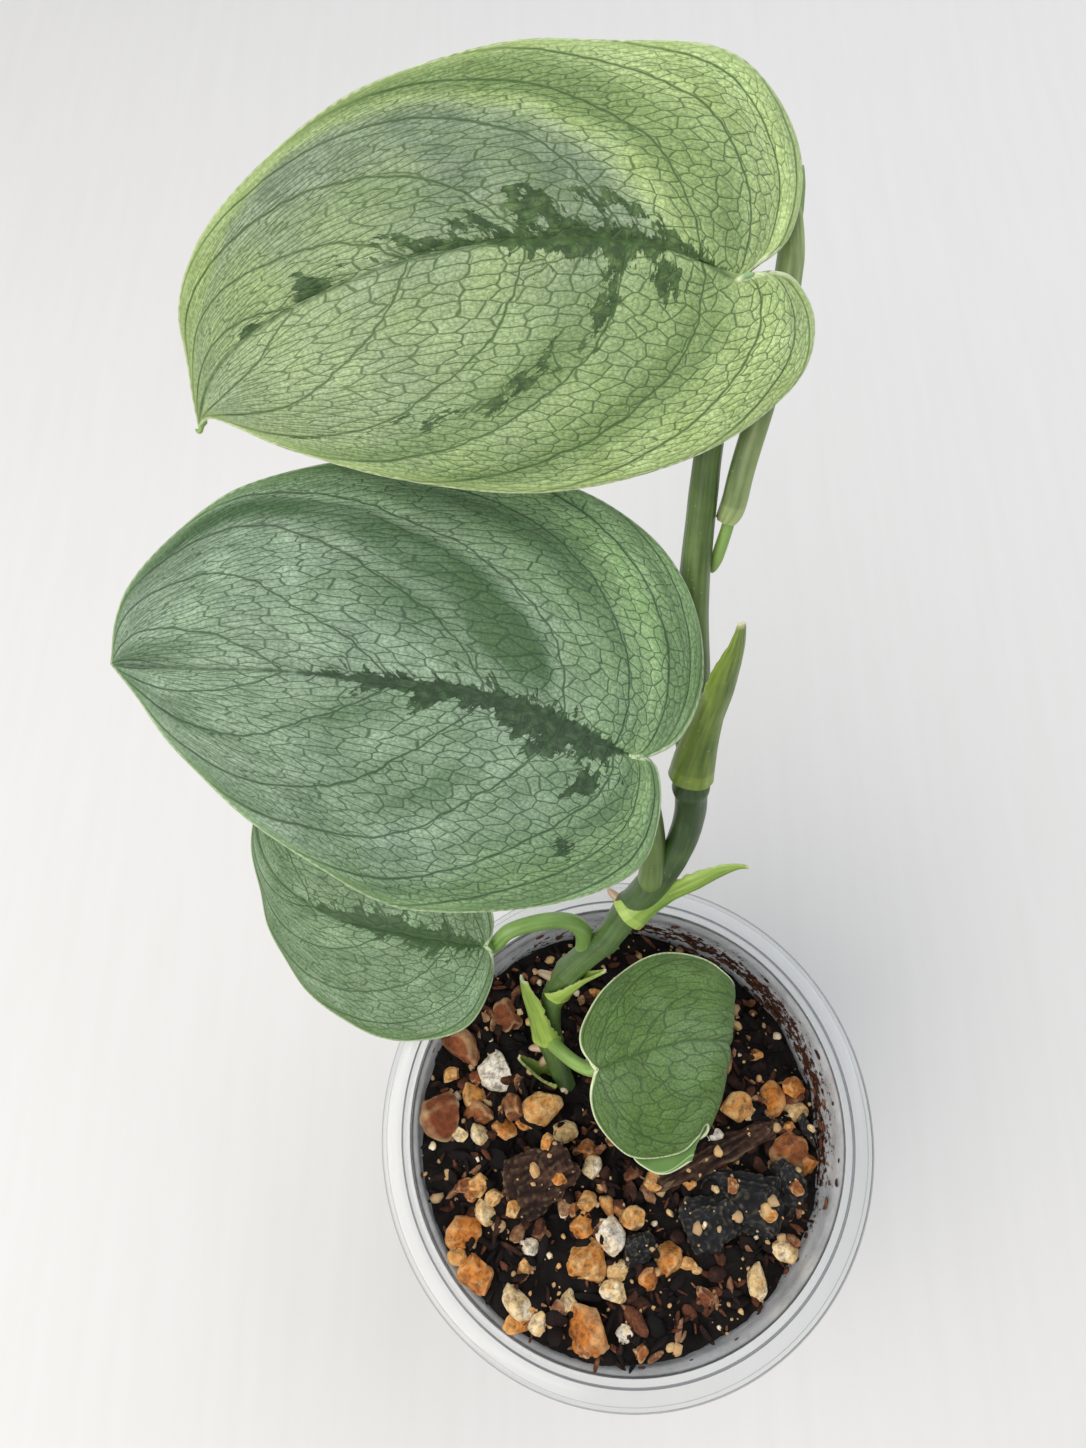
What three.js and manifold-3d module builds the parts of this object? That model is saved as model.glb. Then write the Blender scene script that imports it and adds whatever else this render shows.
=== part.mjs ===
// A young climbing aroid with silvery heart-shaped leaves, growing in a clear plastic cup of coarse bark mix.
// Millimetres, +Z up. The origin is the centre of the cup's underside; the plant leans back, towards +Y.
// Plant, leaf and grain positions are measured from the centre of the cup's rim plane.

import * as THREE from 'three';
import { mergeVertices } from 'three/addons/utils/BufferGeometryUtils.js';
import Module from 'manifold-3d';

const wasm = await Module();
wasm.setup();

// Clearance kept between pieces that touch
const GAP = 0.3;

// Cup: a thin tapered wall under a raised bead, a flat flange and a turned-down lip
const CUP = {
	height: 85,
	rimRadius: 47.5,
	flangeInner: 43.5,
	beadOuter: 42.6,
	mouthRadius: 41.2,
	draft: 0.13,
	wall: 0.8,
	floor: 1.0,
	flangeDrop: 0.9,
	lipDrop: 3.6,
	footCorner: 2.0,
	floorCorner: 1.6,
	roundOff: 0.5,
	segments: 44,
};

// Bark mix: its lumpy surface lies below the rim and falls away to the right and to the back
const SOIL = {
	depthBelowRim: 8.3,
	fallRight: 0.10,
	fallBack: 0.14,
	lump: 0.9,
	rings: 6,
	spokes: 30,
	seed: 20,
	smallGrains: 34,
	smallest: 2.8,
	largest: 5.4,
};

// Facets: sides of a rod, and steps along each kind of piece
const FACETS = {
	sides: 8,
	stemSteps: 30,
	petioleSteps: 16,
	nubSides: 5,
	section: 6,
	scaleSteps: 8,
};

// Large grains of fired clay and pumice: [x, y, size]
const LARGE_GRAINS = [
	[ - 6.6, - 34.5, 9.6 ], [ - 7.4, - 25.5, 7.8 ], [ - 15.6, 3.4, 7.0 ], [ - 32.2, - 20.6, 6.0 ],
	[ - 30.6, - 28.6, 6.4 ], [ - 3, - 19.8, 6.4 ], [ 4.4, - 29.4, 5.6 ], [ 28.8, 3.4, 6.4 ],
	[ 21.8, 2.2, 5.6 ], [ 32.2, - 7.2, 5.6 ], [ 24.2, - 33.4, 7.2 ], [ - 21.2, - 38, 6.2 ],
	[ - 32.8, 16.6, 7.6 ], [ - 25, 11.6, 5.8 ], [ - 37, 2.4, 5.8 ], [ 6, 27, 6.2 ],
];

// Bark pieces and charcoal blocks: [x, y, length, width, height, turn in degrees]
const BARK = [
	[ 18.5, - 4.9, 28, 5, 6, 25 ],
	[ - 16.9, - 9.6, 16, 12, 8, 25 ],
	[ 21.8, - 14.6, 15, 13, 7, - 15 ],
	[ 32.0, - 11.2, 6, 10, 6, 25 ],
];

// Stem route, from its buried end upwards: [x, y, z, radius]
const STEM = [
	[ - 9.2, 3.0, - 19.0, 1.7 ], [ - 11.7, 7.6, - 9.0, 2.0 ], [ - 13.5, 11.7, - 4.6, 2.1 ], [ - 15.0, 16.6, 0.0, 2.4 ],
	[ - 14.7, 21.3, 6.0, 1.9 ], [ - 13.2, 25.3, 13.0, 2.3 ], [ - 9.8, 28.3, 20.0, 2.5 ], [ - 5.0, 31.4, 27.0, 2.3 ],
	[ - 1.8, 35.0, 33.0, 2.7 ], [ 2.0, 38.4, 41.0, 2.8 ], [ 5.2, 42.0, 49.5, 2.4 ], [ 6.2, 45.4, 58.0, 2.4 ],
	[ 5.5, 48.0, 65.6, 2.5 ], [ 5.1, 49.4, 68.2, 2.5 ],
];

// Root nubs on the lowest nodes: [x, y, z of the foot], [x, y, z of the tip]
const ROOT_NUBS = [
	[ [ - 15.1, 14.5, - 2.0 ], [ - 19.2, 14.4, - 3.4 ] ],
	[ [ - 14.6, 13.4, - 3.4 ], [ - 17.6, 10.8, - 6.6 ] ],
	[ [ - 14.0, 26.0, 14.0 ], [ - 17.4, 27.2, 14.6 ] ],
	[ [ - 2.1, 36.0, 34.0 ], [ - 5.2, 38.6, 35.0 ] ],
];

// Blades. The outlines are flat, in the blade's own millimetres: along the midrib from the notch, and across it.
// Positive across is the blade's left, seen from above with the tip ahead.
// droop rolls the end of the blade down past a line; nod turns the lobes down behind the notch.
const BLADES = {
	blade_top: {
		notch: [ 6.2, 93.0, 116.8 ],
		towards: [ - 0.994, - 0.105, - 0.010 ],
		facing: [ 0.05, - 0.566, 0.823 ],
		valley: 0.16,
		curl: 0.20,
		halfWidth: 25,
		droop: { start: 32, radius: 60, most: 40, skew: 8 },
		nod: { start: 4, radius: 22, most: 30 },
		midrib: [ [ 0, 0 ], [ 10, - 4.6 ], [ 24, - 6.1 ], [ 38, - 5.1 ], [ 50, - 2.4 ], [ 60, 1.1 ], [ 66, 5.2 ], [ 69.2, 10.3 ] ],
		right: [ [ 0, 0 ], [ - 3, - 1.8 ], [ - 7, - 4.6 ], [ - 9.3, - 11.5 ], [ - 8, - 17.5 ], [ - 3, - 22.6 ], [ 4, - 25.1 ],
			[ 14, - 26.3 ], [ 25, - 26.6 ], [ 36, - 24.7 ], [ 46, - 21 ], [ 56, - 15.6 ], [ 64, - 9.5 ], [ 69, - 3 ], [ 69.2, 4 ],
			[ 69.2, 10.3 ] ],
		left: [ [ 0, 0 ], [ - 5, - 0.7 ], [ - 8.7, 0.3 ], [ - 10.9, 4 ], [ - 9.6, 9 ], [ - 5.8, 13.1 ], [ 1, 17.3 ], [ 10, 20.3 ],
			[ 20, 21.8 ], [ 31, 21.2 ], [ 42, 18.6 ], [ 54, 14.6 ], [ 63.5, 10.4 ], [ 67.2, 9.3 ], [ 69.2, 10.3 ] ],
		stations: 26,
		columns: 5,
	},
	blade_middle: {
		notch: [ - 4.8, 45.9, 83.9 ],
		towards: [ - 0.976, 0.151, 0.159 ],
		facing: [ 0.101, - 0.333, 0.938 ],
		valley: 0.14,
		curl: 0.18,
		halfWidth: 27,
		droop: { start: 38, radius: 70, most: 35, skew: 0 },
		nod: { start: 4, radius: 22, most: 30 },
		midrib: [ [ 0, 0 ], [ 10, - 2.6 ], [ 21, - 3.9 ], [ 32, - 3.2 ], [ 45, - 2 ], [ 58, 0 ], [ 69.4, 1.4 ] ],
		right: [ [ 0, 0 ], [ - 3, - 0.9 ], [ - 6.4, - 4 ], [ - 8.3, - 11 ], [ - 7, - 18 ], [ - 3, - 24.2 ], [ 3.5, - 29.6 ],
			[ 12, - 33.2 ], [ 24, - 34 ], [ 36, - 32.2 ], [ 47, - 29 ], [ 57, - 23.8 ], [ 64.2, - 16 ], [ 68.7, - 9.5 ],
			[ 70, - 4 ], [ 69.4, 1.4 ] ],
		left: [ [ 0, 0 ], [ - 3.6, 0.4 ], [ - 5.6, 5.5 ], [ - 4.8, 12 ], [ - 1.5, 16.2 ], [ 5, 20 ], [ 13, 22.6 ], [ 21, 24.4 ],
			[ 27.5, 24.4 ], [ 36, 21.6 ], [ 46, 17.2 ], [ 57, 10.6 ], [ 64, 5 ], [ 69.4, 1.4 ] ],
		stations: 26,
		columns: 5,
	},
	blade_low_left: {
		notch: [ - 25.9, 28.5, 37.2 ],
		towards: [ - 0.98, 0.191, - 0.058 ],
		facing: [ - 0.1, - 0.22, 0.97 ],
		valley: 0.14,
		curl: 0.22,
		halfWidth: 16,
		droop: { start: 24, radius: 26, most: 60, skew: 18 },
		nod: { start: 3, radius: 14, most: 25 },
		midrib: [ [ 0, 0 ], [ 12, 0.3 ], [ 26, 0 ], [ 38, - 3.5 ], [ 46, - 9.5 ], [ 50, - 16 ] ],
		right: [ [ 0, 0 ], [ - 0.7, - 3 ], [ 0.6, - 7 ], [ 5, - 12 ], [ 12, - 16.5 ], [ 21, - 19.5 ], [ 31, - 21 ], [ 41, - 20 ],
			[ 50, - 16 ] ],
		left: [ [ 0, 0 ], [ - 1.6, 1.8 ], [ - 2, 6 ], [ 0, 12.4 ], [ 4.4, 15.9 ], [ 10.2, 17.9 ], [ 16.2, 18 ], [ 23, 16.5 ],
			[ 28.5, 14 ], [ 34, 10.2 ], [ 39.5, 5 ], [ 44.5, - 1.5 ], [ 48.5, - 8.5 ], [ 50, - 16 ] ],
		stations: 22,
		columns: 4,
	},
	blade_low_right: {
		notch: [ - 6.6, 9.7, 15.0 ],
		towards: [ 0.969, 0.237, - 0.075 ],
		facing: [ 0.101, - 0.101, 0.99 ],
		valley: 0.06,
		curl: 0.25,
		halfWidth: 18,
		droop: { start: 22, radius: 5, most: 150, skew: - 21 },
		nod: { start: 2, radius: 12, most: 20 },
		midrib: [ [ 0, 0 ], [ 10, 0.9 ], [ 20, 0.6 ], [ 28, - 3 ], [ 34, - 11 ], [ 38, - 24 ] ],
		right: [ [ 0, 0 ], [ - 0.8, - 1.2 ], [ - 2.3, - 4.6 ], [ - 2.3, - 8.8 ], [ - 0.3, - 12.9 ], [ 3, - 16.1 ], [ 7.5, - 17.7 ],
			[ 12.3, - 17.6 ], [ 15.6, - 15.9 ], [ 18.6, - 14.6 ], [ 22, - 17.6 ], [ 25.5, - 23 ], [ 28.8, - 28.2 ],
			[ 32.6, - 29.4 ], [ 36.1, - 28.6 ], [ 38, - 24 ] ],
		left: [ [ 0, 0 ], [ - 0.9, 1.6 ], [ - 1.9, 4.5 ], [ - 1.2, 7.5 ], [ 1.5, 10.7 ], [ 5, 13.5 ], [ 10, 15.9 ], [ 15, 17.1 ],
			[ 20, 16.7 ], [ 25, 14.5 ], [ 28.6, 10.6 ], [ 32, 6 ], [ 35, 0 ], [ 37, - 7 ], [ 38.3, - 15 ], [ 38, - 24 ] ],
		stations: 24,
		columns: 5,
	},
};
const BLADE_THICKNESS = 0.7;

// Where a petiole ends: just clear of the blade, after a bend that starts this far below it
const PETIOLE_END = { clear: 0.4, ahead: 0.6, bend: 2.4 };

// Petioles, from the stem to just under the notch of their blade: [x, y, z, radius].
// side is how far ahead of the notch the last bend lies.
const PETIOLES = {
	petiole_top: {
		blade: 'blade_top',
		route: [ [ 4.9, 50.3, 69.0, 2.45 ], [ 5.0, 53.0, 71.6, 2.4 ], [ 5.2, 60.0, 76.4, 2.3 ], [ 4.5, 68.6, 83.6, 2.25 ],
			[ 4.6, 74.6, 90.0, 2.1 ], [ 4.8, 80.0, 97.0, 1.95 ], [ 5.0, 85.0, 104.0, 1.8 ] ],
		side: - 2,
	},
	petiole_middle: {
		blade: 'blade_middle',
		route: [ [ 1.2, 37.4, 41.6, 2.3 ], [ 1.6, 39.4, 45.5, 2.3 ], [ 1.4, 41.8, 50.0, 2.1 ], [ 0.3, 44.6, 58.0, 1.9 ],
			[ - 1.4, 46.6, 67.0, 1.7 ], [ - 3.2, 47.0, 76.0, 1.6 ] ],
		side: 0,
	},
	petiole_low_left: {
		blade: 'blade_low_left',
		route: [ [ - 9.0, 29.0, 20.0, 1.7 ], [ - 8.9, 31.4, 26.0, 1.6 ], [ - 9.9, 32.6, 31.6, 1.5 ], [ - 12.6, 33.1, 35.2, 1.45 ],
			[ - 16.8, 32.5, 37.3, 1.4 ], [ - 21.9, 31.0, 37.4, 1.35 ] ],
		side: - 1,
	},
	petiole_low_right: {
		blade: 'blade_low_right',
		route: [ [ - 15.0, 15.8, 0.6, 1.5 ], [ - 13.1, 13.6, 5.0, 1.35 ], [ - 10.4, 11.2, 9.6, 1.3 ] ],
		side: - 0.8,
	},
};

// Newest growth: a rolled young leaf in a sheath, beside the top petiole: [x, y, z, radius]
const ROLLED_LEAF = [
	[ 7.0, 72.5, 85.0, 0.9 ], [ 7.6, 73.9, 88.0, 0.9 ], [ 8.3, 75.8, 91.2, 0.85 ], [ 8.8, 77.8, 94.6, 0.7 ], [ 9.4, 80.5, 98.5, 0.7 ],
	[ 11.5, 87.0, 105.0, 0.7 ], [ 12.8, 92.4, 108.9, 0.75 ], [ 13.7, 99.2, 113.1, 0.8 ], [ 14.4, 104.8, 116.2, 0.75 ],
	[ 14.7, 108.5, 119.0, 0.4 ],
];
const SHOOT_SHEATH = {
	opening: [ 0.9, 0.3, - 0.2 ],
	route: [ [ 8.4, 76.4, 92.2, 1.2, 80 ], [ 8.8, 77.8, 94.6, 1.15, 140 ], [ 9.4, 80.5, 98.5, 1.1, 150 ], [ 11.5, 87.0, 105.0, 1.1, 150 ],
		[ 12.8, 92.4, 108.9, 1.2, 150 ], [ 13.7, 99.2, 113.1, 1.15, 140 ], [ 14.4, 104.8, 116.2, 1.1, 60 ] ],
};

// Leaf scales clasping the stem: [x, y, z, inner radius, half of the angle that they wrap]
const SCALES = {
	scale_upper: {
		opening: [ - 0.3, 0.9, - 0.2 ],
		route: [ [ 5.3, 48.6, 67.2, 2.8, 150 ], [ 5.8, 51.8, 72.0, 2.3, 110 ], [ 6.6, 54.4, 77.0, 1.7, 100 ], [ 7.2, 56.0, 83.0, 1.6, 95 ],
			[ 7.5, 57.3, 89.0, 1.3, 85 ], [ 7.8, 58.3, 93.0, 0.8, 60 ], [ 7.7, 59.1, 97.0, 0.3, 40 ] ],
	},
	scale_middle: {
		opening: [ - 0.4, 0.8, - 0.2 ],
		route: [ [ - 1.6, 34.8, 33.8, 3.0, 130 ], [ 1.1, 36.5, 36.2, 2.5, 100 ], [ 4.8, 38.0, 39.4, 1.8, 95 ], [ 8.5, 39.1, 43.4, 1.8, 90 ],
			[ 12.2, 40.2, 46.4, 1.4, 80 ], [ 15.0, 40.4, 48.2, 0.8, 55 ], [ 16.8, 39.8, 49.0, 0.3, 35 ] ],
	},
	scale_small_right: {
		opening: [ - 0.5, 0.7, 0.4 ],
		route: [ [ - 13.6, 24.6, 12.0, 2.6, 110 ], [ - 12.2, 25.0, 15.0, 1.9, 90 ], [ - 9.3, 26.0, 18.5, 1.1, 80 ],
			[ - 5.7, 26.7, 23.0, 0.4, 40 ] ],
	},
	scale_small_left: {
		opening: [ 0.8, 0.6, 0 ],
		route: [ [ - 15.3, 17.0, 0.8, 2.8, 110 ], [ - 16.6, 20.6, 6.6, 2.2, 90 ], [ - 18.0, 23.6, 12.0, 1.8, 85 ],
			[ - 19.2, 26.0, 17.0, 0.9, 55 ] ],
	},
	scale_lowest: {
		opening: [ 0.6, 0.4, 0.7 ],
		route: [ [ - 13.4, 9.6, - 5.0, 2.4, 90 ], [ - 15.9, 10.3, - 4.0, 1.7, 70 ], [ - 18.5, 11.7, - 2.5, 1.1, 60 ],
			[ - 20.5, 12.8, - 1.0, 0.5, 40 ] ],
	},
};
const SCALE_THICKNESS = 0.6;

// Finishes, from the real surfaces
const FINISH = {
	clearPlastic: new THREE.MeshStandardMaterial( { color: '#e9ecec', roughness: 0.12, metalness: 0, transparent: true, opacity: 0.35 } ),
	barkMix: new THREE.MeshStandardMaterial( { color: '#2a1c14', roughness: 0.95, metalness: 0 } ),
	stem: new THREE.MeshStandardMaterial( { color: '#3f5a2c', roughness: 0.55, metalness: 0 } ),
	petiole: new THREE.MeshStandardMaterial( { color: '#6f8a4a', roughness: 0.5, metalness: 0 } ),
	youngShoot: new THREE.MeshStandardMaterial( { color: '#8ba06a', roughness: 0.5, metalness: 0 } ),
	scale: new THREE.MeshStandardMaterial( { color: '#8aa545', roughness: 0.55, metalness: 0 } ),
	silverBlade: new THREE.MeshStandardMaterial( { color: '#8fab86', roughness: 0.5, metalness: 0 } ),
	greenBlade: new THREE.MeshStandardMaterial( { color: '#5e8a4c', roughness: 0.45, metalness: 0 } ),
};

const vector = ( [ x, y, z ] ) => new THREE.Vector3( x, y, z );
const radians = THREE.MathUtils.degToRad;

// A closed geometry from a list of points and a list of triangles
function closedGeometry( points, triangles ) {

	const geometry = new THREE.BufferGeometry().setFromPoints( points );
	geometry.setIndex( triangles );
	geometry.computeVertexNormals();
	return geometry;

}

// Solids for joining and cutting, and back
function toSolid( geometry ) {

	const bare = new THREE.BufferGeometry().setAttribute( 'position', geometry.getAttribute( 'position' ) );
	bare.setIndex( geometry.index );
	const merged = mergeVertices( bare, 1e-4 );
	return new wasm.Manifold( new wasm.Mesh( {
		numProp: 3,
		vertProperties: merged.attributes.position.array,
		triVerts: new Uint32Array( merged.index.array ),
	} ) );

}

function fromSolid( solid ) {

	const mesh = solid.getMesh();
	const geometry = new THREE.BufferGeometry();
	geometry.setAttribute( 'position', new THREE.BufferAttribute( mesh.vertProperties, 3 ) );
	geometry.setIndex( new THREE.BufferAttribute( mesh.triVerts, 1 ) );
	geometry.computeVertexNormals();
	return geometry;

}

// Cuts one geometry clear of others and keeps its largest body
function cutClear( geometry, cutters ) {

	let solid = toSolid( geometry );
	for ( const cutter of cutters ) solid = solid.subtract( toSolid( cutter ) );
	const bodies = solid.decompose().sort( ( a, b ) => b.volume() - a.volume() );
	return fromSolid( bodies[ 0 ] );

}

// A round rod of changing thickness along a smooth route; grow makes a fatter copy that cuts a clearance
function rod( route, sides, steps, grow = 0 ) {

	const curve = new THREE.CatmullRomCurve3( route.map( ( [ x, y, z ] ) => new THREE.Vector3( x, y, z ) ) );
	const frames = curve.computeFrenetFrames( steps, false );
	const points = [];
	const triangles = [];
	for ( let i = 0; i <= steps; i ++ ) {

		const place = curve.getUtoTmapping( i / steps ) * ( route.length - 1 );
		const before = Math.min( Math.floor( place ), route.length - 2 );
		const radius = grow + THREE.MathUtils.lerp( route[ before ][ 3 ], route[ before + 1 ][ 3 ], place - before );
		const centre = curve.getPointAt( i / steps );
		if ( i === 0 ) centre.addScaledVector( frames.tangents[ 0 ], - grow );
		if ( i === steps ) centre.addScaledVector( frames.tangents[ steps ], grow );
		for ( let j = 0; j < sides; j ++ ) {

			const angle = 2 * Math.PI * j / sides;
			points.push( centre.clone()
				.addScaledVector( frames.normals[ i ], radius * Math.cos( angle ) )
				.addScaledVector( frames.binormals[ i ], radius * Math.sin( angle ) ) );

		}

	}

	for ( let i = 0; i < steps; i ++ ) {

		for ( let j = 0; j < sides; j ++ ) {

			const next = ( j + 1 ) % sides;
			const [ a, b, c, d ] = [ i * sides + j, i * sides + next, ( i + 1 ) * sides + next, ( i + 1 ) * sides + j ];
			triangles.push( a, b, c, a, c, d );

		}

	}

	const last = steps * sides;
	for ( let j = 1; j < sides - 1; j ++ ) {

		triangles.push( 0, j + 1, j );
		triangles.push( last, last + j, last + j + 1 );

	}

	return closedGeometry( points, triangles );

}

// A thin trough along a route: it clasps what runs through it at its foot and narrows to a pointed end
function trough( { route, opening }, sectionSteps, steps ) {

	const curve = new THREE.CatmullRomCurve3( route.map( ( [ x, y, z ] ) => new THREE.Vector3( x, y, z ) ) );
	const towardsOpening = vector( opening );
	const points = [];
	const triangles = [];
	const row = 2 * ( sectionSteps + 1 );
	for ( let i = 0; i <= steps; i ++ ) {

		const place = curve.getUtoTmapping( i / steps ) * ( route.length - 1 );
		const before = Math.min( Math.floor( place ), route.length - 2 );
		const share = place - before;
		const radius = THREE.MathUtils.lerp( route[ before ][ 3 ], route[ before + 1 ][ 3 ], share );
		const wrap = radians( THREE.MathUtils.lerp( route[ before ][ 4 ], route[ before + 1 ][ 4 ], share ) );
		const centre = curve.getPointAt( i / steps );
		const tangent = curve.getTangentAt( i / steps );
		const spine = towardsOpening.clone().addScaledVector( tangent, - towardsOpening.dot( tangent ) ).normalize().negate();
		const side = tangent.clone().cross( spine );
		for ( const out of [ 0, SCALE_THICKNESS ] ) {

			for ( let k = 0; k <= sectionSteps; k ++ ) {

				const angle = wrap * ( 2 * k / sectionSteps - 1 );
				points.push( centre.clone()
					.addScaledVector( spine, ( radius + out ) * Math.cos( angle ) )
					.addScaledVector( side, ( radius + out ) * Math.sin( angle ) ) );

			}

		}

	}

	// Section outline: the inner row forwards and the outer row backwards
	const ring = [];
	for ( let k = 0; k <= sectionSteps; k ++ ) ring.push( k );
	for ( let k = sectionSteps; k >= 0; k -- ) ring.push( sectionSteps + 1 + k );
	for ( let i = 0; i < steps; i ++ ) {

		for ( let k = 0; k < ring.length; k ++ ) {

			const [ p, q ] = [ ring[ k ], ring[ ( k + 1 ) % ring.length ] ];
			const [ a, b, c, d ] = [ i * row + p, i * row + q, ( i + 1 ) * row + q, ( i + 1 ) * row + p ];
			triangles.push( a, c, b, a, d, c );

		}

	}

	for ( let k = 0; k < sectionSteps; k ++ ) {

		const [ a, b, c, d ] = [ k, k + 1, sectionSteps + 2 + k, sectionSteps + 1 + k ];
		triangles.push( a, b, c, a, c, d );
		const far = steps * row;
		triangles.push( far + a, far + c, far + b, far + a, far + d, far + c );

	}

	return closedGeometry( points, triangles );

}

// Where a flat point of a blade lies in space, once the blade is folded, drooped and nodded
function bladePoint( blade, along, across ) {

	const facing = vector( blade.facing ).normalize();
	const ahead = vector( blade.towards );
	ahead.addScaledVector( facing, - ahead.dot( facing ) ).normalize();
	const left = facing.clone().cross( ahead );
	const { droop, nod } = blade;
	const turn = new THREE.Vector2( Math.cos( radians( droop.skew ) ), Math.sin( radians( droop.skew ) ) );
	const past = ( along - droop.start ) * turn.x + across * turn.y;
	let [ x, y, z ] = [ along, across, 0 ];
	let [ tiltX, tiltY, tiltZ ] = [ 0, 0, 1 ];
	if ( past > 0 ) {

		const bend = Math.min( past / droop.radius, radians( droop.most ) );
		const straight = Math.max( 0, past - droop.radius * radians( droop.most ) );
		const reach = droop.radius * Math.sin( bend ) + straight * Math.cos( bend );
		x += ( reach - past ) * turn.x;
		y += ( reach - past ) * turn.y;
		z -= droop.radius * ( 1 - Math.cos( bend ) ) + straight * Math.sin( bend );
		[ tiltX, tiltY, tiltZ ] = [ Math.sin( bend ) * turn.x, Math.sin( bend ) * turn.y, Math.cos( bend ) ];

	}

	const behind = nod.start - along;
	if ( behind > 0 ) {

		const bend = Math.min( behind / nod.radius, radians( nod.most ) );
		const straight = Math.max( 0, behind - nod.radius * radians( nod.most ) );
		x += behind - nod.radius * Math.sin( bend ) - straight * Math.cos( bend );
		z -= nod.radius * ( 1 - Math.cos( bend ) ) + straight * Math.sin( bend );
		tiltX -= Math.sin( bend );

	}

	const fold = blade.valley * ( Math.hypot( across, 2 ) - 2 ) - blade.curl * across * across / blade.halfWidth;
	return vector( blade.notch )
		.addScaledVector( ahead, x + fold * tiltX )
		.addScaledVector( left, y + fold * tiltY )
		.addScaledVector( facing, z + fold * tiltZ );

}

// A blade of even thickness: a ladder of rows from midrib to margin, cut into triangles alike on both faces
function bladeGeometry( blade, thickness = BLADE_THICKNESS ) {

	const outline = ( side ) => new THREE.SplineCurve( side.map( ( [ x, y ] ) => new THREE.Vector2( x, y ) ) );
	const [ midrib, right, left ] = [ outline( blade.midrib ), outline( blade.right ), outline( blade.left ) ];
	const { stations, columns } = blade;
	const width = 2 * columns + 1;
	const points = [];
	const triangles = [];
	const flat = ( station, column ) => {

		const share = station / stations;
		const from = midrib.getPointAt( Math.pow( share, 1.5 ) );
		const to = ( column < 0 ? right : left ).getPointAt( share );
		return from.lerp( to, Math.abs( column ) / columns );

	};

	const vertex = ( face, station, column ) => {

		const single = station === 0 || station === stations;
		return face + 2 * ( single ? station * width : station * width + column + columns );

	};

	const step = 0.2;
	for ( let i = 0; i <= stations; i ++ ) {

		for ( let j = - columns; j <= columns; j ++ ) {

			const { x, y } = flat( i, i === 0 || i === stations ? 0 : j );
			const middle = bladePoint( blade, x, y );
			const alongEdge = bladePoint( blade, x + step, y ).sub( bladePoint( blade, x - step, y ) );
			const acrossEdge = bladePoint( blade, x, y + step ).sub( bladePoint( blade, x, y - step ) );
			const normal = alongEdge.cross( acrossEdge ).normalize();
			points.push( middle.clone().addScaledVector( normal, thickness / 2 ) );
			points.push( middle.clone().addScaledVector( normal, - thickness / 2 ) );

		}

	}

	const add = ( a, b, c ) => {

		if ( a !== b && b !== c && c !== a ) triangles.push( a, b, c );

	};

	for ( let i = 0; i < stations; i ++ ) {

		for ( let j = - columns; j < columns; j ++ ) {

			const corners = ( face ) => [ vertex( face, i, j ), vertex( face, i + 1, j ), vertex( face, i + 1, j + 1 ), vertex( face, i, j + 1 ) ];
			const [ a, b, c, d ] = corners( 0 );
			const [ e, f, g, h ] = corners( 1 );
			if ( j < 0 ) {

				add( a, b, d );
				add( b, c, d );
				add( e, h, f );
				add( f, h, g );

			} else {

				add( a, b, c );
				add( a, c, d );
				add( e, g, f );
				add( e, h, g );

			}

		}

		for ( const [ j, turned ] of [ [ - columns, true ], [ columns, false ] ] ) {

			const [ a, b, c, d ] = [ vertex( 0, i, j ), vertex( 0, i + 1, j ), vertex( 1, i + 1, j ), vertex( 1, i, j ) ];
			if ( turned ) {

				add( a, c, b );
				add( a, d, c );

			} else {

				add( a, b, c );
				add( a, c, d );

			}

		}

	}

	return cutClear( closedGeometry( points, triangles ), [] );

}

// A petiole: its route, then a bend up into the underside of the notch
function petioleRoute( { blade, route, side } ) {

	const place = BLADES[ blade ];
	const facing = vector( place.facing ).normalize();
	const ahead = vector( place.towards );
	ahead.addScaledVector( facing, - ahead.dot( facing ) ).normalize();
	const under = BLADE_THICKNESS / 2 + PETIOLE_END.clear;
	const end = vector( place.notch ).addScaledVector( facing, - under ).addScaledVector( ahead, PETIOLE_END.ahead );
	const before = vector( place.notch ).addScaledVector( facing, - under - PETIOLE_END.bend ).addScaledVector( ahead, side );
	const radius = route[ route.length - 1 ][ 3 ];
	return [ ...route, [ ...before.toArray(), radius * 0.95 ], [ ...end.toArray(), radius * 0.8 ] ];

}

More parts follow.
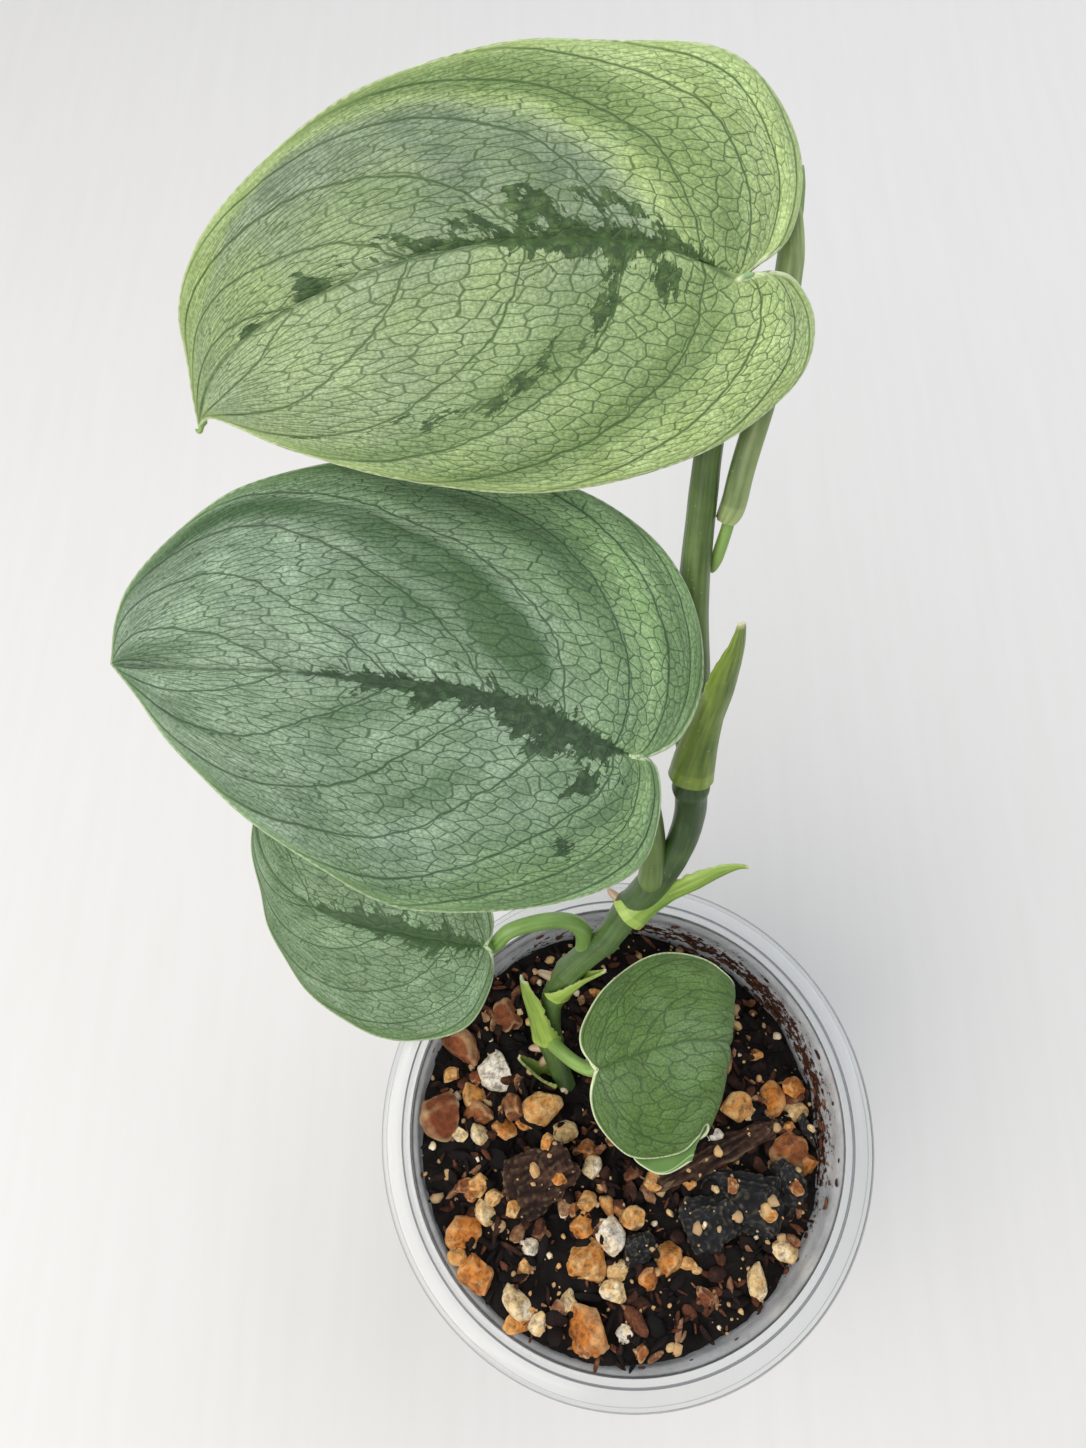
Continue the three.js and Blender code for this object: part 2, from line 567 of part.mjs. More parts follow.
// The cup, turned about its axis
function cupGeometry() {

	const { height, rimRadius, flangeInner, beadOuter, mouthRadius, draft, wall, floor } = CUP;
	const { flangeDrop, lipDrop, footCorner, floorCorner, roundOff } = CUP;
	const innerAt = ( z ) => mouthRadius - draft * ( height - z );
	const outerAt = ( z ) => innerAt( z ) + wall;
	const flangeTop = height - flangeDrop;
	const flangeUnder = flangeTop - wall;
	const profile = [
		[ 0, 0 ], [ outerAt( 0 ) - footCorner, 0 ], [ outerAt( 0 ) - roundOff, roundOff ], [ outerAt( footCorner ), footCorner ],
		[ outerAt( flangeUnder ), flangeUnder - wall ], [ flangeInner, flangeUnder ],
		[ rimRadius - 2 * wall, flangeUnder ], [ rimRadius - wall, flangeUnder - wall ], [ rimRadius - wall, height - lipDrop ],
		[ rimRadius, height - lipDrop ], [ rimRadius, flangeTop - 2 * roundOff ], [ rimRadius - roundOff, flangeTop - roundOff / 2 ],
		[ rimRadius - 2.5 * roundOff, flangeTop ], [ flangeInner, flangeTop ], [ beadOuter, height - roundOff / 2 ],
		[ ( beadOuter + mouthRadius ) / 2, height ], [ mouthRadius, height - roundOff ],
		[ innerAt( floor + floorCorner ), floor + floorCorner ], [ innerAt( floor ) - floorCorner, floor ], [ 0, floor ],
	];
	return new THREE.LatheGeometry( profile.map( ( [ x, y ] ) => new THREE.Vector2( x, y ) ), CUP.segments ).rotateX( Math.PI / 2 );

}

// Repeatable random numbers from 0 to 1
function seededRandom( seed ) {

	let state = seed;
	return () => {

		state = ( state * 1664525 + 1013904223 ) % 4294967296;
		return state / 4294967296;

	};

}

// Height of the bark mix's own surface, from the rim plane
function soilHeight( x, y ) {

	const lumps = Math.sin( 0.31 * x + 0.17 * y ) + Math.sin( 0.23 * x - 0.36 * y + 1.3 ) + Math.sin( 0.61 * y + 0.4 * x + 2.1 );
	return - SOIL.depthBelowRim - SOIL.fallRight * x - SOIL.fallBack * y + SOIL.lump * lumps / 2;

}

// The bark mix as a plug that fills the cup, with a lumpy top
function soilBed() {

	const { rings, spokes } = SOIL;
	const insideAt = ( z ) => CUP.mouthRadius + CUP.draft * z - GAP;
	const bottom = - CUP.height + CUP.floor + GAP;
	const points = [ new THREE.Vector3( 0, 0, soilHeight( 0, 0 ) ) ];
	const triangles = [];
	const ringPoint = ( ring, spoke ) => 1 + ring * spokes + spoke % spokes;
	for ( let i = 1; i <= rings; i ++ ) {

		for ( let j = 0; j < spokes; j ++ ) {

			const angle = 2 * Math.PI * j / spokes;
			const [ edgeX, edgeY ] = [ CUP.mouthRadius * Math.cos( angle ), CUP.mouthRadius * Math.sin( angle ) ];
			const reach = insideAt( soilHeight( edgeX, edgeY ) ) * i / rings;
			const [ x, y ] = [ reach * Math.cos( angle ), reach * Math.sin( angle ) ];
			points.push( new THREE.Vector3( x, y, soilHeight( x, y ) ) );

		}

	}

	const corner = CUP.floorCorner;
	for ( const [ radius, z ] of [ [ insideAt( bottom + corner ), bottom + corner ], [ insideAt( bottom ) - corner, bottom ] ] ) {

		for ( let j = 0; j < spokes; j ++ ) {

			const angle = 2 * Math.PI * j / spokes;
			points.push( new THREE.Vector3( radius * Math.cos( angle ), radius * Math.sin( angle ), z ) );

		}

	}

	const centre = points.push( new THREE.Vector3( 0, 0, bottom ) ) - 1;
	for ( let j = 0; j < spokes; j ++ ) {

		triangles.push( 0, ringPoint( 0, j ), ringPoint( 0, j + 1 ) );
		for ( let i = 0; i < rings + 1; i ++ ) {

			const [ a, b, c, d ] = [ ringPoint( i, j ), ringPoint( i + 1, j ), ringPoint( i + 1, j + 1 ), ringPoint( i, j + 1 ) ];
			triangles.push( a, b, c, a, c, d );

		}

		triangles.push( centre, ringPoint( rings + 1, j + 1 ), ringPoint( rings + 1, j ) );

	}

	return closedGeometry( points, triangles );

}

// One rough grain, a squashed and turned many-sided stone
function grain( x, y, size, random ) {

	const stone = new THREE.IcosahedronGeometry( size / 2, 0 );
	stone.scale( 0.85 + 0.3 * random(), 0.75 + 0.2 * random(), 0.8 );
	stone.rotateX( 0.6 * random() );
	stone.rotateZ( 2 * Math.PI * random() );
	stone.translate( x, y, soilHeight( x, y ) + 0.12 * size );
	return mergeVertices( stone.deleteAttribute( 'normal' ).deleteAttribute( 'uv' ) );

}

// A broken bark piece or charcoal block, half sunk
function block( [ x, y, length, width, height, turn ] ) {

	const piece = new THREE.BoxGeometry( length, width, height, 3, 1, 1 );
	const corners = piece.getAttribute( 'position' );
	for ( let i = 0; i < corners.count; i ++ ) {

		const shrink = 1 - 0.18 * Math.abs( Math.sin( 1.7 * corners.getX( i ) + 0.9 * corners.getZ( i ) ) );
		corners.setY( i, corners.getY( i ) * shrink );
		corners.setZ( i, corners.getZ( i ) * shrink );

	}

	piece.rotateX( 0.25 );
	piece.rotateZ( radians( turn ) );
	piece.translate( x, y, soilHeight( x, y ) + 0.1 * height );
	return mergeVertices( piece.deleteAttribute( 'normal' ).deleteAttribute( 'uv' ) );

}

// The bark mix with its grains, bark and charcoal grown together, and a plain hole for the stem
function soilGeometry() {

	const random = seededRandom( SOIL.seed );
	const edge = CUP.mouthRadius - CUP.draft * 2 * SOIL.depthBelowRim - GAP;
	let bed = toSolid( soilBed() );
	for ( const piece of BARK ) bed = bed.add( toSolid( block( piece ) ) );
	for ( const [ x, y, size ] of LARGE_GRAINS ) {

		const inward = Math.min( 1, ( edge - 0.58 * size ) / Math.hypot( x, y ) );
		bed = bed.add( toSolid( grain( x * inward, y * inward, size, random ) ) );

	}

	for ( let i = 0; i < SOIL.smallGrains; i ++ ) {

		const size = THREE.MathUtils.lerp( SOIL.smallest, SOIL.largest, random() );
		const reach = ( edge - 0.58 * size ) * Math.sqrt( random() );
		const angle = 2 * Math.PI * random();
		const [ x, y ] = [ reach * Math.cos( angle ), reach * Math.sin( angle ) ];
		const nearStem = Math.hypot( x - STEM[ 2 ][ 0 ], y - STEM[ 2 ][ 1 ] ) < 9;
		if ( ! nearStem ) bed = bed.add( toSolid( grain( x, y, size, random ) ) );

	}

	bed = bed.subtract( toSolid( rod( STEM.slice( 0, 4 ), FACETS.sides, FACETS.stemSteps / 3, GAP ) ) );
	const bodies = bed.decompose().sort( ( a, b ) => b.volume() - a.volume() );
	return fromSolid( bodies[ 0 ] );

}

// The stem with its root nubs
function stemGeometry( grow = 0 ) {

	let solid = toSolid( rod( STEM, FACETS.sides, FACETS.stemSteps, grow ) );
	for ( const [ foot, tip ] of ROOT_NUBS ) {

		const nub = rod( [ [ ...foot, 1.0 ], [ ...vector( foot ).lerp( vector( tip ), 0.5 ).toArray(), 0.8 ], [ ...tip, 0.35 ] ], FACETS.nubSides, 2, grow );
		solid = solid.add( toSolid( nub ) );

	}

	return fromSolid( solid );

}

const part = new THREE.Group();
const plant = new THREE.Group();
plant.position.z = CUP.height;
part.add( plant );

function place( name, geometry, material, parent ) {

	const mesh = new THREE.Mesh( geometry, material );
	mesh.name = name;
	parent.add( mesh );

}

place( 'cup', cupGeometry(), FINISH.clearPlastic, part );
place( 'bark_mix', soilGeometry(), FINISH.barkMix, plant );
place( 'stem', stemGeometry(), FINISH.stem, plant );

for ( const [ name, blade ] of Object.entries( BLADES ) ) {

	const finish = name === 'blade_low_right' ? FINISH.greenBlade : FINISH.silverBlade;
	place( name, bladeGeometry( blade ), finish, plant );

}

const stemClearance = stemGeometry( GAP );
const petioleClearances = [];
for ( const [ name, petiole ] of Object.entries( PETIOLES ) ) {

	const route = petioleRoute( petiole );
	const bladeClearance = bladeGeometry( BLADES[ petiole.blade ], BLADE_THICKNESS + 2 * GAP );
	place( name, cutClear( rod( route, FACETS.sides, FACETS.petioleSteps ), [ stemClearance, bladeClearance ] ), FINISH.petiole, plant );
	petioleClearances.push( rod( route, FACETS.sides, FACETS.petioleSteps, GAP ) );

}

place( 'rolled_leaf', cutClear( rod( ROLLED_LEAF, FACETS.sides, FACETS.petioleSteps ), petioleClearances ), FINISH.youngShoot, plant );
place( 'shoot_sheath', cutClear( trough( SHOOT_SHEATH, FACETS.section, FACETS.scaleSteps ), petioleClearances ), FINISH.youngShoot, plant );

for ( const [ name, scale ] of Object.entries( SCALES ) ) {

	const geometry = cutClear( trough( scale, FACETS.section, FACETS.scaleSteps ), [ stemClearance, ...petioleClearances ] );
	place( name, geometry, FINISH.scale, plant );

}

export default part;
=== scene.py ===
"""A young climbing aroid with silvery heart-shaped leaves, growing in a clear cup of coarse bark mix.

Sizes are in millimetres. Places are measured from the centre of the cup's rim plane, with Z up. The plant
leans towards +Y, and its large leaves point towards -X.
"""

import logging
import math
import random
from dataclasses import dataclass, field
from enum import Enum
from typing import Sequence

import bpy
import numpy as np
from bpy.types import Material, Node, NodeSocket, Object
from mathutils import Euler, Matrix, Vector, noise
from mathutils.bvhtree import BVHTree


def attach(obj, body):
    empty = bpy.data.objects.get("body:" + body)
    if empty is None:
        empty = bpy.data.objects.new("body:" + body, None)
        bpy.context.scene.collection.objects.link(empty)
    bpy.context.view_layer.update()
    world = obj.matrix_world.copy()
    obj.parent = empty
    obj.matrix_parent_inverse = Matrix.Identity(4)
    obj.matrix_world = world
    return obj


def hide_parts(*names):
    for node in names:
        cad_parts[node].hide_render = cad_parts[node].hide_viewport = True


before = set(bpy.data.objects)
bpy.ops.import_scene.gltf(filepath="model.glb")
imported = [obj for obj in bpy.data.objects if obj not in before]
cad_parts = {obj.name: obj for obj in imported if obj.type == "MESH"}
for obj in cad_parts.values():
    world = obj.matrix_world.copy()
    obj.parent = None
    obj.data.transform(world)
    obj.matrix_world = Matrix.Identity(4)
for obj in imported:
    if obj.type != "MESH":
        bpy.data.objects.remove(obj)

MM = 0.001
RIM_HEIGHT = 85.0
UV_SPAN = 100.0
log = logging.getLogger("plant")


def linear(hex_colour: str) -> tuple[float, float, float, float]:
    """Turns an sRGB hex colour into linear red, green, blue and alpha.

    Args:
        hex_colour: The colour, such as "#8fab86".

    Returns:
        Linear red, green and blue, and an alpha of 1.
    """
    shares = [int(hex_colour[i : i + 2], 16) / 255 for i in (1, 3, 5)]
    red, green, blue = [s / 12.92 if s <= 0.04045 else ((s + 0.055) / 1.055) ** 2.4 for s in shares]
    return red, green, blue, 1.0


def add_node(material: Material, kind: str, inputs: dict | Sequence = (), **settings: object) -> Node:
    """Adds a node to a material, with its settings and links.

    Args:
        material: The material that gets the node.
        kind: The node's type without its first words, such as "Mix".
        inputs: Values for the node's inputs, by name or number, or in order from the first one. A node stands
            for its first output, a socket is linked, and anything else is set.
        settings: The node's own settings.

    Returns:
        The new node.
    """
    node = material.node_tree.nodes.new(f"ShaderNode{kind}")
    for name, value in settings.items():
        setattr(node, name, value)
    for key, value in inputs.items() if isinstance(inputs, dict) else enumerate(inputs):
        if isinstance(value, Node):
            value = value.outputs[0]
        if isinstance(value, NodeSocket):
            material.node_tree.links.new(value, node.inputs[key])
        else:
            node.inputs[key].default_value = value
    return node


def new_material(name: str) -> Material:
    """Makes an empty node material.

    Args:
        name: The real material's name.

    Returns:
        The material, with no nodes.
    """
    material = bpy.data.materials.new(name)
    material.use_nodes = True
    material.node_tree.nodes.clear()
    return material


def deselect() -> None:
    """Leaves nothing selected."""
    bpy.ops.object.select_all(action="DESELECT")


def activate(piece: Object) -> None:
    """Selects one piece alone and makes it active.

    Args:
        piece: The piece.
    """
    deselect()
    piece.select_set(True)
    bpy.context.view_layer.objects.active = piece


def apply_modifier(piece: Object, kind: str, **settings: object) -> None:
    """Adds a modifier and applies it at once.

    Args:
        piece: The piece to change.
        kind: The modifier's type.
        settings: The modifier's settings.
    """
    activate(piece)
    modifier = piece.modifiers.new(kind.lower(), kind)
    for name, value in settings.items():
        setattr(modifier, name, value)
    bpy.ops.object.modifier_apply(modifier=modifier.name)


def new_grid(name: str, rows: int, columns: int) -> tuple[Object, np.ndarray, np.ndarray]:
    """Adds a grid that is then laid on a surface.

    Args:
        name: The piece's name.
        rows: Steps along the grid's Y.
        columns: Steps along the grid's X.

    Returns:
        The piece, and the row share and column share of each of its vertices, from 0 to 1.
    """
    deselect()
    bpy.ops.mesh.primitive_grid_add(x_subdivisions=columns, y_subdivisions=rows, size=1.0, location=(0, 0, 0))
    piece = bpy.context.object
    piece.name = name
    piece.data.name = name
    shares = np.clip(np.array([v.co for v in piece.data.vertices]) + 0.5, 0, 1)
    return piece, shares[:, 1], shares[:, 0]


def put_vertices(piece: Object, places: np.ndarray) -> None:
    """Puts a piece's vertices at places given in millimetres from the rim plane.

    Args:
        piece: The piece.
        places: One place for each vertex.
    """
    metres = (np.asarray(places, float) + [0, 0, RIM_HEIGHT]) * MM
    piece.data.vertices.foreach_set("co", metres.astype(np.float32).ravel())
    piece.data.update()


def give_attribute(piece: Object, name: str, values: np.ndarray) -> None:
    """Stores one number for each vertex.

    Args:
        piece: The piece.
        name: The attribute's name.
        values: One number for each vertex.
    """
    attribute = piece.data.attributes.new(name, "FLOAT", "POINT")
    attribute.data.foreach_set("value", np.asarray(values, np.float32))


def give_flat_map(piece: Object, flat: np.ndarray) -> None:
    """Stores the flat place of each vertex, in millimetres, as the UV map that the patterns follow.

    Args:
        piece: The piece.
        flat: Two numbers for each vertex.
    """
    layer = piece.data.uv_layers.active or piece.data.uv_layers.new()
    layer.name = "flat"
    corners = np.zeros(len(piece.data.loops), np.int32)
    piece.data.loops.foreach_get("vertex_index", corners)
    layer.data.foreach_set("uv", (flat[corners] / UV_SPAN).astype(np.float32).ravel())


def merge_and_close(piece: Object, close: bool = False) -> None:
    """Merges vertices that lie on each other, closes open ends if asked, and turns the faces outwards.

    Args:
        piece: The piece.
        close: Whether open ends are filled.
    """
    activate(piece)
    bpy.ops.object.mode_set(mode="EDIT")
    bpy.ops.mesh.select_all(action="SELECT")
    bpy.ops.mesh.remove_doubles(threshold=0.002 * MM)
    if close:
        bpy.ops.mesh.fill_holes(sides=0)
    bpy.ops.mesh.select_all(action="SELECT")
    bpy.ops.mesh.normals_make_consistent(inside=False)
    bpy.ops.object.mode_set(mode="OBJECT")


def smooth(piece: Object, angle: float = 40.0) -> None:
    """Shades a piece smoothly except over sharp edges.

    Args:
        piece: The piece.
        angle: Edges sharper than this many degrees stay sharp.
    """
    activate(piece)
    bpy.ops.object.shade_smooth_by_angle(angle=math.radians(angle))


def join(name: str, copies: Sequence[Object]) -> Object:
    """Joins loose copies into one piece.

    Args:
        name: The piece's name.
        copies: The copies.

    Returns:
        The joined piece, with its place in its mesh.
    """
    activate(copies[0])
    for copy in copies:
        copy.select_set(True)
    bpy.ops.object.join()
    bpy.ops.object.transform_apply(location=True, rotation=True, scale=True)
    piece = bpy.context.object
    piece.name = name
    piece.data.name = name
    return piece


def through(points: Sequence[Sequence[float]], shares: np.ndarray) -> np.ndarray:
    """Follows a smooth line through points, evenly by length.

    Args:
        points: Rows of numbers, of which the first two or three are the place and the rest are carried along.
        shares: Shares of the line's length, from 0 to 1.

    Returns:
        One row of numbers for each share.
    """
    rows = np.array(points, float)
    size = min(3, rows.shape[1])
    padded = np.vstack([rows[0], rows, rows[-1]])
    steps = np.linspace(0, len(rows) - 1, 40 * (len(rows) - 1) + 1)
    first = np.minimum(steps.astype(int), len(rows) - 2)
    t = (steps - first)[:, None]
    p0, p1, p2, p3 = (padded[first + k] for k in range(4))
    bend = (2 * p0 - 5 * p1 + 4 * p2 - p3) * t**2
    twist = (3 * p1 - p0 - 3 * p2 + p3) * t**3
    fine = 0.5 * (2 * p1 + (p2 - p0) * t + bend + twist)
    fine[:, size:] = (1 - t) * p1[:, size:] + t * p2[:, size:]
    lengths = np.concatenate([[0], np.cumsum(np.linalg.norm(np.diff(fine[:, :size], axis=0), axis=1))])
    wanted = np.asarray(shares) * lengths[-1]
    return np.stack([np.interp(wanted, lengths, fine[:, k]) for k in range(rows.shape[1])], axis=1)


def length_of(route: Sequence[Sequence[float]]) -> float:
    """Measures a route along its smooth line.

    Args:
        route: Points, with their place first.

    Returns:
        The length in millimetres.
    """
    line = through(route, np.linspace(0, 1, 100))[:, :3]
    return float(np.linalg.norm(np.diff(line, axis=0), axis=1).sum())


def nearest(places: np.ndarray, line: np.ndarray) -> np.ndarray:
    """Measures from each place to the nearest point of a line.

    Args:
        places: Flat places.
        line: Points along the line.

    Returns:
        One distance for each place.
    """
    return np.array([np.min(np.hypot(*(line - place).T)) for place in places])


def unit(vectors: np.ndarray) -> np.ndarray:
    """Scales vectors to length 1.

    Args:
        vectors: One or more vectors.

    Returns:
        The vectors at length 1.
    """
    return vectors / np.linalg.norm(vectors, axis=-1, keepdims=True)


def lumps(places: np.ndarray, size: float, seed: float = 0.0) -> np.ndarray:
    """Gives smooth lumpy noise at places.

    Args:
        places: Places in millimetres, two or three numbers each.
        size: Size of one lump.
        seed: A shift that gives another pattern.

    Returns:
        One number from about -1 to 1 for each place.
    """
    deep = np.zeros((len(places), 3))
    deep[:, : places.shape[1]] = places / size
    return np.array([noise.noise(Vector(p) + Vector((seed, seed * 1.7, seed * 2.3))) for p in deep])


Outline = Sequence[Sequence[float]]

# Millimetres from one fine vein to the next where the splash lies, and a depth that is well outside it
VEIN_SPACING = 1.7
FAR_OUTSIDE = -9.0


@dataclass(frozen=True)
class BladeTissue:
    """Living leaf tissue: a thin clear skin over air-filled cells, which gives a silver satin, over green.

    The skin has a low gloss, and the green below shows along the veins, which fence off a net of small
    fields. lane_depth is how far long lanes between the veins differ in tone. field_length and line_width are
    a field's length and a vein's width in millimetres, and splash_feather is how far the splash's ragged edge
    wanders.
    """

    name: str
    silver: str
    bright: str
    green: str
    dark_green: str
    shadow: str
    splash: str
    vein: str
    # edge is the colour of the pale margin line, a painted highlight along the blade's edge
    edge: str
    lane_depth: float = 0.22
    field_length: float = 1.7
    net_depth: float = 0.88
    line_width: float = 0.2
    splash_feather: float = 3.2
    below: tuple[str, str] = ("#96b386", "#7d9f69")
    roughness: float = 0.5

    def material(self) -> Material:
        """Makes the upper face's material.

        Returns:
            The material.
        """
        made = new_material(self.name)
        flat = add_node(made, "UVMap", uv_map="flat")
        facts = ("vein", "along", "crowding", "silver", "painted_light_and_tone", "splash", "rib", "margin")
        vein, along, crowding, silver, painted_light_and_tone, splash, rib, margin = (
            add_node(made, "Attribute", attribute_name=fact).outputs["Fac"] for fact in facts
        )

        # Small wandering of every line, so that none of them is drawn with a ruler
        wander = add_node(made, "TexNoise", {"Vector": flat, "Scale": UV_SPAN / 2.6, "Detail": 2.0})
        centred = add_node(
            made, "VectorMath", [wander.outputs["Color"], (0.5, 0.5, 0.5)], operation="SUBTRACT"
        )
        field_place = add_node(made, "CombineXYZ", [vein, along])
        scaled = add_node(
            made, "VectorMath", [field_place, (1.0, 1 / self.field_length, 1.0)], operation="MULTIPLY"
        )
        wandered = add_node(made, "VectorMath", [centred, (0.55, 0.7, 0.0), scaled], operation="MULTIPLY_ADD")
        wavy_vein = add_node(made, "SeparateXYZ", [wandered]).outputs["X"]
        net_lines, dome = self.net(made, wandered, wavy_vein, crowding)
        fields = add_node(
            made,
            "TexVoronoi",
            {"Vector": wandered, "Scale": 1.0, "Randomness": 0.85},
            voronoi_dimensions="2D",
        )
        field_tone = add_node(made, "SeparateColor", [fields.outputs["Color"]]).outputs[0]

        skin = self.skin_colour(made, flat, field_tone, silver, painted_light_and_tone, vein, along)
        splash_share = self.splash_share(made, flat, splash, rib, vein, along)
        blotch = add_node(made, "TexNoise", {"Vector": flat, "Scale": UV_SPAN / 1.3, "Detail": 4.0})
        blotch_share = add_node(made, "MapRange", [blotch, 0.45, 0.7, 0.0, 0.75])
        dark_core = add_node(
            made, "Mix", {0: blotch_share, 6: linear(self.splash), 7: linear(self.shadow)}, data_type="RGBA"
        )
        splashed = add_node(
            made, "Mix", {0: splash_share, 6: skin, 7: dark_core.outputs[2]}, data_type="RGBA"
        )

        # Veins darken the skin. The margin is a pale hard line, a painted highlight where the blade's thin edge
        # catches the light, with a deeper green line just inside it
        midrib = add_node(made, "MapRange", [rib, 0.1, 0.5, 1.0, 0.0])
        with_rib = add_node(made, "Math", [net_lines, midrib], operation="MAXIMUM")
        line_share = add_node(made, "Math", [with_rib, self.net_depth], operation="MULTIPLY")
        veined = add_node(
            made, "Mix", {0: line_share, 6: splashed.outputs[2], 7: linear(self.vein)}, data_type="RGBA"
        )
        inner_share = add_node(made, "MapRange", [margin, 0.4, 1.3, 0.45, 0.0])
        inner = add_node(
            made, "Mix", {0: inner_share, 6: veined.outputs[2], 7: linear(self.dark_green)}, data_type="RGBA"
        )
        edge_highlight_share = add_node(made, "MapRange", [margin, 0.12, 0.36, 0.9, 0.0])
        edge_highlighted = add_node(
            made, "Mix", {0: edge_highlight_share, 6: inner.outputs[2], 7: linear(self.edge)}, data_type="RGBA"
        )

        height = add_node(made, "Math", [dome, with_rib], operation="SUBTRACT")
        relief = add_node(made, "Bump", {"Height": height, "Strength": 0.6, "Distance": 0.1 * MM})
        shader = add_node(
            made,
            "BsdfPrincipled",
            {
                "Base Color": edge_highlighted.outputs[2],
                "Roughness": self.roughness,
                "Normal": relief,
                "Subsurface Weight": 0.1,
                "Subsurface Radius": (0.5, 1.0, 0.25),
                "Subsurface Scale": 0.6 * MM,
                "Specular IOR Level": 0.4,
            },
        )
        add_node(made, "OutputMaterial", {"Surface": shader})
        return made

    def net(
        self, made: Material, place: Node, vein: NodeSocket, crowding: NodeSocket
    ) -> tuple[Node, Node]:
        """Draws the side veins, the finer veins between them and the net that joins these.

        Args:
            made: The material.
            place: Places counted in veins across and in fields along.
            vein: The same count of veins alone; side veins lie at every fourth one.
            crowding: Veins per millimetre, from which the lines get the same width everywhere.

        Returns:
            The node with the lines' strength, and the one with the height of the fields' domes.
        """
        width = self.line_width
        side_veins = self.vein_lines(made, vein, crowding, 4.0, 1.1 * width, 1.0)
        fine_veins = self.vein_lines(made, vein, crowding, 1.0, 0.7 * width, 0.22)
        flat_cells = {"voronoi_dimensions": "2D", "feature": "DISTANCE_TO_EDGE"}
        cells = add_node(
            made, "TexVoronoi", {"Vector": place, "Scale": 1.0, "Randomness": 0.85}, **flat_cells
        )
        cell_line = add_node(made, "MapRange", [cells, 0.12 * width, 0.36 * width, 0.9, 0.0])
        small_cells = add_node(made, "TexVoronoi", {"Vector": place, "Scale": 2.6}, **flat_cells)
        small_line = add_node(made, "MapRange", [small_cells, 0.02, 0.11, 0.42, 0.0])
        crowded = add_node(made, "MapRange", [crowding, 1.0, 2.6, 1.0, 0.35])
        net_line = add_node(made, "Math", [cell_line, small_line], operation="MAXIMUM")
        all_fine = add_node(made, "Math", [net_line, fine_veins], operation="MAXIMUM")
        faded = add_node(made, "Math", [all_fine, crowded], operation="MULTIPLY")
        lines = add_node(made, "Math", [faded, side_veins], operation="MAXIMUM")
        dome = add_node(made, "MapRange", [cells, 0.0, 0.3, 0.0, 1.0], interpolation_type="SMOOTHSTEP")
        return lines, dome

    def vein_lines(
        self,
        made: Material,
        vein: NodeSocket,
        crowding: NodeSocket,
        every: float,
        wide: float,
        strength: float,
    ) -> Node:
        """Draws lines along the veins.

        Args:
            made: The material.
            vein: The count of veins.
            crowding: Veins per millimetre.
            every: Number of veins from one line to the next.
            wide: Half a line's width in millimetres, with its soft edge.
            strength: The lines' strength, up to 1.

        Returns:
            The node with the lines' strength.
        """
        share = add_node(made, "Math", [vein, 1 / every], operation="MULTIPLY")
        turned = add_node(made, "Math", [share, 0.5], operation="PINGPONG")
        from_line = add_node(made, "Math", [turned, every], operation="MULTIPLY")
        distance = add_node(made, "Math", [from_line, crowding], operation="DIVIDE")
        return add_node(made, "MapRange", [distance, 0.3 * wide, wide, strength, 0.0])

    def skin_colour(
        self,
        made: Material,
        flat: Node,
        field_tone: NodeSocket,
        silver: NodeSocket,
        painted_light_and_tone: NodeSocket,
        vein: NodeSocket,
        along: NodeSocket,
    ) -> NodeSocket:
        """Mixes silver over green, with uneven borders, tones that change by the field and a fine grain, and
        painted light and shade along the side veins.

        Args:
            made: The material.
            flat: Flat places on the blade.
            field_tone: A number of its own for each field.
            silver: How silvery the blade is at each place.
            painted_light_and_tone: Tones of the pale and dark stripes along the side veins: painted light and
                shade, and partly real tone.
            vein: The count of veins.
            along: Millimetres along the veins.

        Returns:
            The socket with the colour.
        """
        lane = add_node(made, "CombineXYZ", [vein, along])
        long_lane = add_node(made, "VectorMath", [lane, (0.32, 0.045, 1.0)], operation="MULTIPLY")
        lanes = add_node(made, "TexNoise", {"Vector": long_lane, "Scale": 1.0, "Detail": 2.0})
        lane_tone = add_node(made, "MapRange", [lanes, 0.32, 0.68, -self.lane_depth, self.lane_depth])
        tone = add_node(made, "Math", [painted_light_and_tone, lane_tone], operation="ADD")
        patch = add_node(made, "TexNoise", {"Vector": flat, "Scale": UV_SPAN / 12.0, "Detail": 2.0})
        patch_shift = add_node(made, "MapRange", [patch, 0.3, 0.7, -0.22, 0.22])
        field_shift = add_node(made, "MapRange", [field_tone, 0.0, 1.0, -0.07, 0.07])
        shifts = add_node(made, "Math", [patch_shift, field_shift], operation="ADD")
        silver_share = add_node(made, "Math", [silver, shifts], operation="ADD", use_clamp=True)
        mottle = add_node(made, "TexNoise", {"Vector": flat, "Scale": UV_SPAN / 5.0, "Detail": 3.0})
        grain_share = add_node(made, "MapRange", [mottle, 0.35, 0.75, 0.0, 0.7])
        silver_tone = add_node(
            made, "Mix", {0: grain_share, 6: linear(self.silver), 7: linear(self.bright)}, data_type="RGBA"
        )
        blotch = add_node(made, "TexNoise", {"Vector": flat, "Scale": UV_SPAN / 5.0, "Detail": 4.0})
        blotch_share = add_node(made, "MapRange", [blotch, 0.38, 0.72, 0.0, 1.0])
        green_tone = add_node(
            made,
            "Mix",
            {0: blotch_share, 6: linear(self.green), 7: linear(self.dark_green)},
            data_type="RGBA",
        )
        skin = add_node(
            made,
            "Mix",
            {0: silver_share, 6: green_tone.outputs[2], 7: silver_tone.outputs[2]},
            data_type="RGBA",
        )
